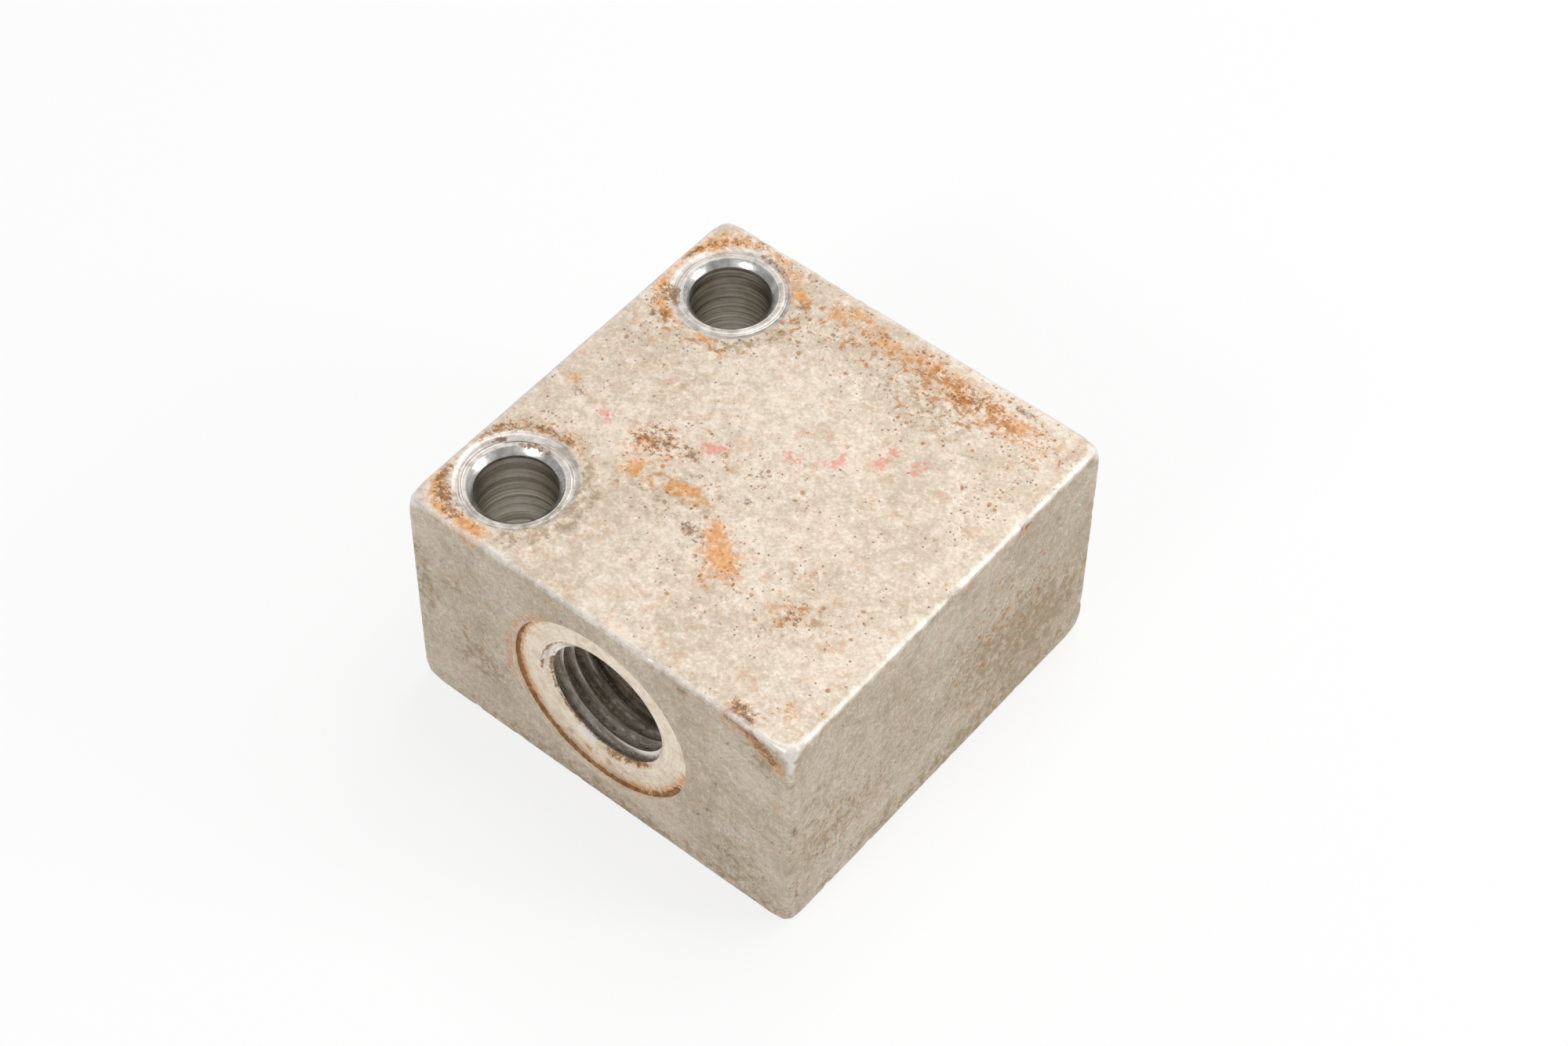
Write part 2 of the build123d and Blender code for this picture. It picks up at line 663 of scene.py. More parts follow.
FINISHES: dict[Zone, WeatheredFinish | TurnedFinish | BoredFinish] = {
    Zone.TOP: WeatheredFinish(
        name="weathered_top",
        base=(0.765, 0.665, 0.55),
        shadow=(0.64, 0.53, 0.405),
        grain_scale=(1.6, 1.6, 1.6),
        grain_turn=(0.0, 0.0, 30.0),
        grain_depth=0.1,
        pitting=1.0,
        metal=0.3,
        roughness=0.52,
    ),
    Zone.PORT_SIDE: WeatheredFinish(
        name="brushed_port_side",
        base=(0.59, 0.51, 0.405),
        shadow=(0.47, 0.385, 0.275),
        grain_scale=(7.0, 7.0, 0.35),
        grain_turn=(0.0, 3.0, 0.0),
        grain_depth=0.34,
        pitting=0.6,
        metal=0.35,
        roughness=0.46,
    ),
    Zone.PLAIN_SIDE: WeatheredFinish(
        name="milled_plain_side",
        base=(0.565, 0.485, 0.38),
        shadow=(0.42, 0.335, 0.225),
        grain_scale=(2.5, 4.0, 0.6),
        grain_turn=(38.0, 0.0, 0.0),
        grain_depth=0.3,
        pitting=0.7,
        metal=0.35,
        roughness=0.46,
    ),
    Zone.SEAT: TurnedFinish(
        name="rubbed_seat",
        base=(0.74, 0.69, 0.64),
        shadow=(0.52, 0.47, 0.41),
        ring_pitch=0.2,
        ring_depth=0.8,
        contrast=1.25,
        metal=0.55,
        roughness=0.42,
    ),
    Zone.SPOT_FACE: TurnedFinish(
        name="turned_spot_face",
        base=(0.9, 0.79, 0.64),
        shadow=(0.79, 0.655, 0.49),
        ring_pitch=0.3,
        ring_depth=0.4,
        contrast=0.3,
        metal=0.3,
        roughness=0.4,
    ),
    Zone.CHAMFER: TurnedFinish(
        name="cut_chamfer",
        base=(0.8, 0.79, 0.765),
        shadow=(0.56, 0.545, 0.52),
        ring_pitch=0.25,
        ring_depth=0.5,
        contrast=0.2,
        metal=0.9,
        roughness=0.26,
    ),
    Zone.BORE: BoredFinish(
        name="drilled_bore",
        base=(0.8, 0.77, 0.72),
        shadow=(0.56, 0.51, 0.44),
        axis=(0.0, 0.0, 1.0),
        ring_pitch=0.3,
        roughness=0.34,
    ),
    Zone.THREAD: BoredFinish(
        name="tapped_thread",
        base=(0.93, 0.89, 0.82),
        shadow=(0.62, 0.54, 0.44),
        axis=(0.0, 1.0, 0.0),
        ring_pitch=0.5,
        roughness=0.3,
    ),
}


# ---------------------------------------------------------------------------------------------
# Mesh tools
# ---------------------------------------------------------------------------------------------


def ripple(points: np.ndarray, size: float, seed: float) -> np.ndarray:
    """Smooth noise in space, from about -1 to 1.

    Args:
        points: Places, one in a row.
        size: Size of a lump, in millimetres.
        seed: Offset that makes the pattern differ.

    Returns:
        One number for each place.
    """
    return np.array([noise.noise(Vector(p) / size + Vector((seed, -seed, 2 * seed))) for p in points])


def step(low: float, high: float, values: np.ndarray) -> np.ndarray:
    """Smooth step from 0 at low to 1 at high."""
    t = np.clip((values - low) / (high - low), 0.0, 1.0)
    return t * t * (3 - 2 * t)


class Shell:
    """Points and faces of the block's skin, in millimetres, gathered before they become one mesh."""

    def __init__(self) -> None:
        """Starts empty."""
        self.points: list[np.ndarray] = []
        self.faces: list[tuple[int, ...]] = []
        self.zones: list[int] = []
        self.count = 0

    def add(self, points: np.ndarray, faces: Sequence[Sequence[int]], zone: Zone) -> None:
        """Adds points with the faces between them.

        Args:
            points: Places, one in a row.
            faces: Indices into those points.
            zone: The finish that the faces wear.
        """
        self.faces += [tuple(i + self.count for i in face) for face in faces]
        self.zones += [zone.value] * len(faces)
        self.points.append(points)
        self.count += len(points)

    def add_grid(
        self, grid: np.ndarray, zone: Zone, other: Zone | None = None, where: np.ndarray | None = None
    ) -> None:
        """Adds rows of points whose two ends meet.

        Args:
            grid: Rows by columns by three.
            zone: The finish that the faces wear.
            other: A second finish, for some of the faces.
            where: True at the points whose faces wear the second finish.
        """
        rows, columns = grid.shape[:2]
        faces = [
            (r * columns + c, r * columns + c + 1, (r + 1) * columns + c + 1, (r + 1) * columns + c)
            for r in range(rows - 1)
            for c in range(columns - 1)
        ]
        self.add(grid.reshape(-1, 3), faces, zone)
        if other is not None and where is not None:
            chosen = where[:-1, :-1].reshape(-1)
            self.zones[-len(faces) :] = [other.value if pick else zone.value for pick in chosen]

    def closed_mesh(self, name: str) -> bpy.types.Mesh:
        """Joins what was gathered, still in millimetres.

        Args:
            name: The mesh's name.

        Returns:
            A closed mesh, its faces turned outwards.
        """
        mesh = bpy.data.meshes.new(name)
        mesh.from_pydata(np.concatenate(self.points).tolist(), [], self.faces)
        mesh.polygons.foreach_set("material_index", self.zones)
        joined = bmesh.new()
        joined.from_mesh(mesh)
        bmesh.ops.remove_doubles(joined, verts=joined.verts, dist=MERGE_DISTANCE)
        bmesh.ops.dissolve_degenerate(joined, edges=joined.edges, dist=MERGE_DISTANCE / 10)
        bmesh.ops.recalc_face_normals(joined, faces=joined.faces)
        open_edges = sum(not edge.is_manifold for edge in joined.edges)
        if open_edges:
            LOG.warning("%s has %d open edges", name, open_edges)
        joined.to_mesh(mesh)
        joined.free()
        return mesh


@dataclass(frozen=True)
class Opening:
    """A round mouth in a flat side: the points of its rim, which the side and the hole share."""

    rim: np.ndarray
    centre: np.ndarray
    radius: float


@dataclass(frozen=True)
class Pit:
    """A small hollow in the skin."""

    at: Triple
    reach: float
    depth: float


@dataclass
class FlatSide:
    """One flat side of the block, as a net of triangles with round openings.

    Rows of points run close along the edges, where the wear map rounds them.
    """

    half: np.ndarray
    axis: int
    sign: int
    zone: Zone
    step: float
    edge_step: float = 0.25
    openings: Sequence[Opening] = ()
    pits: Sequence[Pit] = ()
    edge_rows: tuple[float, ...] = (0.08, 0.17, 0.27, 0.38, 0.6, 0.95)
    rim_rows: tuple[float, ...] = (0.14, 0.34, 0.65)
    seed: int = 1

    def _axes(self) -> list[int]:
        """The two axes that the side lies along."""
        return [a for a in range(3) if a != self.axis]

    def _flat(self, points: np.ndarray) -> np.ndarray:
        """Drops the axis that the side faces along."""
        return np.asarray(points)[..., self._axes()]

    def _rectangle(self, inset: float, spacing: float) -> np.ndarray:
        """Points round a rectangle inside the side's outline.

        Args:
            inset: Distance from the outline.
            spacing: About how far apart the points stand.

        Returns:
            The points, in order round the rectangle.
        """
        hu, hv = self._flat(self.half) - inset
        count_u, count_v = (max(2, round(2 * (h + inset) / spacing)) for h in (hu, hv))
        u = -hu + 2 * hu * np.arange(count_u) / count_u
        v = -hv + 2 * hv * np.arange(count_v) / count_v
        return np.concatenate(
            [
                np.stack([u, np.full(count_u, -hv)], 1),
                np.stack([np.full(count_v, hu), v], 1),
                np.stack([-u, np.full(count_u, hv)], 1),
                np.stack([np.full(count_v, -hu), -v], 1),
            ]
        )

    def _inner(self) -> np.ndarray:
        """Unevenly strewn points over the middle of the side."""
        rng = np.random.default_rng(self.seed)
        hu, hv = self._flat(self.half) - self.edge_rows[-1] - 0.5 * self.step
        u = np.linspace(-hu, hu, max(2, round(2 * hu / self.step)))
        v = np.linspace(-hv, hv, max(2, round(2 * hv / self.step)))
        grid = np.stack(np.meshgrid(u, v), -1).reshape(-1, 2)
        return grid + rng.uniform(-0.3, 0.3, grid.shape) * self.step

    def add_to(self, shell: Shell) -> None:
        """Nets the side and adds it to the shell.

        Args:
            shell: Where the triangles go.
        """
        outline = self._rectangle(0.0, self.edge_step)
        loose = [self._rectangle(row, self.edge_step * (1 + row)) for row in self.edge_rows]
        loose.append(self._inner())
        for opening in self.openings:
            spokes = self._flat(opening.rim - opening.centre) / opening.radius
            loose += [self._flat(opening.centre) + spokes * (opening.radius + row) for row in self.rim_rows]
        free = np.concatenate(loose)
        for opening in self.openings:
            gap = np.linalg.norm(free - self._flat(opening.centre), axis=1) - opening.radius
            free = free[gap > self.rim_rows[0] * 0.9]
        for pit in self.pits:
            centre = self._flat(np.array(pit.at))
            free = free[np.linalg.norm(free - centre, axis=1) > pit.reach * 1.25]
            turn = np.arange(8) * math.tau / 8
            ring = np.stack([np.cos(turn), np.sin(turn)], 1)
            free = np.concatenate(
                [free, centre[None], *(centre + ring * pit.reach * k for k in (0.45, 0.8, 1.15))]
            )
        reach = self._flat(self.half) - 1e-3
        free = free[(np.abs(free) < reach).all(1)]

        loops = [outline, *(self._flat(opening.rim) for opening in self.openings)]
        edges: list[tuple[int, int]] = []
        start = 0
        for loop in loops:
            edges += [(start + i, start + (i + 1) % len(loop)) for i in range(len(loop))]
            start += len(loop)
        flat = np.concatenate([*loops, free])
        net = geometry.delaunay_2d_cdt([Vector(p) for p in flat], edges, [], 1, 1e-5, False)
        points = np.full((len(net[0]), 3), self.sign * self.half[self.axis])
        points[:, self._axes()] = np.array([tuple(p) for p in net[0]])
        faces = np.array(net[2])
        for opening in self.openings:
            outside = np.linalg.norm(points - opening.centre, axis=1) > opening.radius + MERGE_DISTANCE
            faces = faces[outside[faces].any(1)]
        shell.add(points, faces.tolist(), self.zone)


# ---------------------------------------------------------------------------------------------
# The block's parts
# ---------------------------------------------------------------------------------------------


def circle(centre: Sequence[float], radius: float | np.ndarray, segments: int) -> tuple[np.ndarray, np.ndarray]:
    """Points round a circle, the last one on the first.

    Args:
        centre: Its centre, along the two axes of its plane.
        radius: Its radius, or one for each point.
        segments: Steps round it.

    Returns:
        The points' places along the two axes.
    """
    turn = np.linspace(0, math.tau, segments + 1)
    turn[-1] = 0.0
    return centre[0] + radius * np.cos(turn), centre[1] + radius * np.sin(turn)


class RoundSkin:
    """Skin that is gathered ring by ring. Each kind of hole says where its own rings lie."""

    def _ring(self, radius: float, along: float, share: float) -> np.ndarray:
        """One ring of points.

        Args:
            radius: Its radius.
            along: Where it lies along the hole.
            share: Which of the hole's two centres it goes round, from 0 to 1.

        Returns:
            The points, the last one on the first.
        """
        raise NotImplementedError

    def _add(self, shell: Shell, rows: Sequence[Triple], zone: Zone) -> None:
        """Adds the strip of skin through several rings.

        Args:
            shell: Where it goes.
            rows: Radius, place along the hole and share for each ring.
            zone: Its finish.
        """
        shell.add_grid(np.stack([self._ring(*row) for row in rows]), zone)


@dataclass
class ScrewHole(RoundSkin):
    """A plain through hole with a chamfer at each end and the ring of its screw head on top."""

    centre: Pair
    radius: float
    half_height: float
    seat_shift: Pair
    seat_radius: float = 5.2
    seat_depth: float = 0.1
    chamfer: float = 0.54
    segments: int = 108
    seed: float = 1.0

    def _ring(self, radius: float, height: float, share: float) -> np.ndarray:
        """One ring of points.

        Args:
            radius: Its radius.
            height: Its height from the middle of the block.
            share: 0 at the screw head's centre, 1 at the hole's.

        Returns:
            The points, the last one on the first.
        """
        at = [centre + shift * (1 - share) for centre, shift in zip(self.centre, self.seat_shift)]
        x, y = circle(at, radius, self.segments)
        return np.stack([x, y, np.full_like(x, height)], 1)

    def openings(self) -> tuple[Opening, Opening]:
        """The mouths in the top and in the bottom.

        Returns:
            The two openings.
        """
        found = []
        for radius, height, share in (
            (self.seat_radius, self.half_height, 0.0), (self.radius + self.chamfer, -self.half_height, 1.0)
        ):
            rim = self._ring(radius, height, share)[:-1]
            found.append(Opening(rim, rim.mean(0), radius))
        return found[0], found[1]

    def add_to(self, shell: Shell) -> None:
        """Adds the hole's skin.

        Args:
            shell: Where it goes.
        """
        top = self.half_height
        floor = top - self.seat_depth
        rim_radius = self.radius + self.chamfer
        rng = np.random.default_rng(int(self.seed * 10))
        seat: list[Triple] = [(self.seat_radius, top, 0.0), (self.seat_radius - 0.16, floor + 0.05, 0.0)]
        for share in np.linspace(0.0, 1.0, 14):
            radius = (self.seat_radius - 0.34) * (1 - share) + (rim_radius + 0.03) * share
            seat.append((radius, floor + rng.uniform(-0.018, 0.018), share))
        seat.append((rim_radius, floor - 0.005, 1.0))
        self._add(shell, seat, Zone.SEAT)
        rim = floor - self.chamfer
        mid = (self.radius + rim_radius) / 2
        cone = [
            (rim_radius, floor - 0.005, 1.0),
            (mid, (floor + rim) / 2, 1.0),
            (self.radius + 0.02, rim + 0.02, 1.0),
        ]
        self._add(shell, [*cone, (self.radius, rim - 0.02, 1.0)], Zone.CHAMFER)
        foot = -self.half_height + self.chamfer
        wall = [
            (
                self.radius + rng.uniform(-0.008, 0.008), z, 1.0
            ) for z in np.linspace(rim - 0.4, foot + 0.4, 36)
        ]
        self._add(shell, [(self.radius, rim - 0.02, 1.0), *wall, (self.radius, foot, 1.0)], Zone.BORE)
        self._add(shell, [(self.radius, foot, 1.0), (rim_radius, -self.half_height, 1.0)], Zone.CHAMFER)


@dataclass
class TappedPort(RoundSkin):
    """The port: a spot face for a sealing washer, a countersink, a pipe thread and a drilled end."""

    centre: Pair
    face: float
    minor_radius: float
    drift: Pair = THREAD_DRIFT
    spot_radius: float = 9.3
    spot_depth: float = 0.7
    major_radius: float = 13.157 / 2
    pitch: float = 25.4 / 19
    cone_angle: float = 120.0
    thread_length: float = 14.0
    drill_depth: float = 18.0
    tip_angle: float = 118.0
    crest_turn: float = 225.0
    crest_depth: float = 2.4
    segments: int = 168
    rows_per_pitch: int = 24

    def _ring(self, radius: float | np.ndarray, depth: float | np.ndarray, share: float) -> np.ndarray:
        """One ring of points.

        Args:
            radius: Its radius, or one for each point.
            depth: Its depth from the face, or one for each point.
            share: 0 on the spot face's centre, 1 on the thread's.

        Returns:
            The points, the last one on the first.
        """
        at = [centre + drift * share for centre, drift in zip(self.centre, self.drift)]
        x, z = circle(at, radius, self.segments)
        return np.stack([x, self.face + depth + np.zeros_like(x), z], 1)

    def opening(self) -> Opening:
        """The mouth in the block's side.

        Returns:
            The opening.
        """
        rim = self._ring(self.spot_radius, 0.0, 0.0)[:-1]
        return Opening(rim, rim.mean(0), self.spot_radius)

    def groove(self, turn: np.ndarray, depth: np.ndarray) -> np.ndarray:
        """How deep the thread is cut, from 0 on a crest to 1 in a root.

        Args:
            turn: Turn about the port's axis, in degrees, as it is seen from outside.
            depth: Depth from the face.

        Returns:
            The share of the groove's depth.
        """
        past = depth - self.crest_depth + self.pitch * (turn - self.crest_turn) / 360
        from_crest = np.abs((past / self.pitch + 0.5) % 1.0 - 0.5)
        flat = 1 / 12
        share = np.clip((from_crest - flat) / (0.5 - 2 * flat), 0.0, 1.0)
        return share * (1 - step(self.thread_length - 2 * self.pitch, self.thread_length, depth))

    def _thread(self) -> tuple[np.ndarray, np.ndarray]:
        """The countersink and the thread, as rows that climb with the thread.

        Returns:
            The grid of points, and True at those on the countersink.
        """
        count = self.rows_per_pitch
        row_step = self.pitch / count
        turns = np.arange(self.segments + 1) / self.segments
        start = (self.crest_depth + self.pitch * self.crest_turn / 360) % row_step
        rows = np.arange(-1, math.ceil((self.thread_length - start) / row_step) + count + 1)
        climb = start + rows[:, None] * row_step - self.pitch * turns[None, :]
        depth = np.clip(climb, self.spot_depth, self.thread_length)
        groove = self.groove(360 * turns[None, :], depth)
        radius = self.minor_radius + (self.major_radius - self.minor_radius) * groove
        cone = self.major_radius - (depth - self.spot_depth) * math.tan(math.radians(self.cone_angle / 2))
        coned = radius <= cone
        radius = np.maximum(radius, cone)
        radius[depth <= self.spot_depth] = self.major_radius
        radius[depth >= self.thread_length] = self.minor_radius
        return np.stack([self._ring(r, d, 1.0) for r, d in zip(radius, depth)]), coned

    def add_to(self, shell: Shell) -> None:
        """Adds the port's skin.

        Args:
            shell: Where it goes.
        """
        edge, floor = self.spot_radius, self.spot_depth
        rng = np.random.default_rng(5)
        wall: list[Triple] = [
            (edge, 0.0, 0.0),
            (edge - 0.03, 0.05, 0.0),
            (edge - 0.05, 0.34, 0.0),
            (edge - 0.05, floor - 0.26, 0.0),
            (edge - 0.05, floor - 0.12, 0.0),
            (edge - 0.09, floor - 0.03, 0.0),
            (edge - 0.17, floor, 0.0),
            (edge - 0.30, floor, 0.0),
        ]
        for share in np.linspace(0.0, 1.0, 18)[1:]:
            radius = (edge - 0.30) * (1 - share) + self.major_radius * share
            ripple_height = rng.uniform(-0.006, 0.006) if share < 1 else 0.0
            wall.append((radius, floor + ripple_height, share))
        self._add(shell, wall, Zone.SPOT_FACE)
        thread, coned = self._thread()
        shell.add_grid(thread, Zone.THREAD, Zone.SPOT_FACE, coned)
        tip = self.minor_radius / math.tan(math.radians(self.tip_angle / 2))
        drilled = [
            (self.minor_radius, d, 1.0) for d in np.linspace(self.thread_length, self.drill_depth, 7)
        ]
        drilled += [
            (self.minor_radius * (1 - s), self.drill_depth + tip * s, 1.0) for s in (0.3, 0.6, 0.9, 1.0)
        ]
        self._add(shell, drilled, Zone.THREAD)


@dataclass(frozen=True)
class Wear:
    """What use has done to the sharp block: rounded edges, blunted corners, nicks and pits."""

    half: np.ndarray
    hollows: Sequence[Pit]
    edge_radius: float = 0.33
    corner_radius: float = 0.95
    corner_reach: float = 2.2

    def shape(self, points: np.ndarray) -> np.ndarray:
        """Moves points of the sharp block onto the worn one.

        Args:
            points: Places on or in the sharp block.

        Returns:
            The moved places.
        """
        corner_gap = np.linalg.norm(self.half - np.abs(points), axis=1)
        blunt = 1 - step(0.0, self.corner_reach, corner_gap)
        radius = self.edge_radius * (1 + 0.22 * ripple(points, 4.5, 3.1) + 0.10 * ripple(points, 1.1, 7.7))
        radius = radius + (self.corner_radius * (1 + 0.2 * ripple(points, 9.0, 1.3)) - radius) * blunt
        radius = radius[:, None]
        core = np.clip(points, radius - self.half, self.half - radius)
        out = points - core
        length = np.linalg.norm(out, axis=1, keepdims=True)
        moved = np.where(length > radius, core + out * radius / np.maximum(length, 1e-9), points)
        facing = out / np.maximum(np.maximum(length, radius), 1e-9)
        sunk = np.zeros(len(points))
        for pit in self.hollows:
            gap = np.linalg.norm(points - np.array(pit.at), axis=1) / pit.reach
            sunk = np.maximum(sunk, pit.depth * np.clip(1 - gap * gap, 0, 1) ** 1.5)
        return moved - facing * sunk[:, None]


@dataclass(frozen=True)
class Mark:
    """One stain, fleck or worn patch, placed on one side of the block.

    `at` is measured from the middle of that side: along X and Y on the top, along X and Z on the
    port's side, and along Y and Z on the side that faces +X.
    """

    tone: Tone
    at: Pair
    size: Pair
    strength: float = 1.0
    turn: float = 0.0

    def cover(self, flat: np.ndarray, depth: np.ndarray) -> np.ndarray:
        """How strongly the mark shows.

        Args:
            flat: Places on the side.
            depth: How far each place lies below the side.

        Returns:
            Its strength at each place.
        """
        turn = math.radians(self.turn)
        x, y = (flat - np.array(self.at)).T
        along = (x * math.cos(turn) + y * math.sin(turn)) / self.size[0]
        across = (y * math.cos(turn) - x * math.sin(turn)) / self.size[1]
        return self.strength * np.exp(-(along**2) - across**2 - np.maximum(depth - 0.2, 0.0))


@dataclass(frozen=True)
class Arc:
    """A stain, worn patch, painted highlight or painted shadow that follows a circle from one turn to another,
    counter-clockwise, in degrees.
    """

    tone: Tone
    centre: Pair
    radius: float
    width: float
    turns: Pair
    strength: float = 1.0
    depths: Pair = (-1.0, 9.0)

    def cover(self, flat: np.ndarray, depth: np.ndarray) -> np.ndarray:
        """How strongly the arc shows.

        Args:
            flat: Places on the side.
            depth: How far each place lies below the side.

        Returns:
            Its strength at each place.
        """
        x, y = (flat - np.array(self.centre)).T
        middle = sum(self.turns) / 2
        off = np.abs((np.degrees(np.arctan2(y, x)) - middle + 180) % 360 - 180)
        span = (self.turns[1] - self.turns[0]) / 2
        ends = 1 - step(0.75 * span, 1.08 * span, off)
        gap = (np.hypot(x, y) - self.radius) / self.width
        deep = (depth > self.depths[0]) & (depth < self.depths[1])
        return self.strength * ends * np.exp(-(gap**2)) * deep


@dataclass(frozen=True)
class MarkedSide:
    """The marks of one side of the block."""

    axis: int
    sign: int
    marks: Sequence[Mark | Arc]
    reach: float = 1.1

    def cover(self, points: np.ndarray, half: np.ndarray) -> dict[Tone, np.ndarray]:
        """How strongly each tone shows.

        Args:
            points: Places on the sharp block.
            half: Half sizes of the block.

        Returns:
            The strength of each tone at each place.
        """
        near = self.sign * points[:, self.axis] > half[self.axis] - self.reach
        flat = points[near][:, [a for a in range(3) if a != self.axis]]
        depth = half[self.axis] - self.sign * points[near, self.axis]
        found = {tone: np.zeros(len(points)) for tone in Tone}
        for mark in self.marks:
            share = found[mark.tone]
            share[near] = 1 - (1 - share[near]) * (1 - np.clip(mark.cover(flat, depth), 0, 1))
        return found


# Centres that the arcs below go round: the screw heads' marks on the top, the port and its thread
BACK_HOLE: Pair = (-14.0, 13.5)
FRONT_HOLE: Pair = (-14.2, -13.2)
PORT: Pair = (0.0, 0.0)
THREAD: Pair = THREAD_DRIFT
CORNER: Pair = (0.42, 1.0)  # depths of the corner between the spot face's wall and its floor
FACE: Pair = (-1.0, 0.2)  # depths that are on the side itself

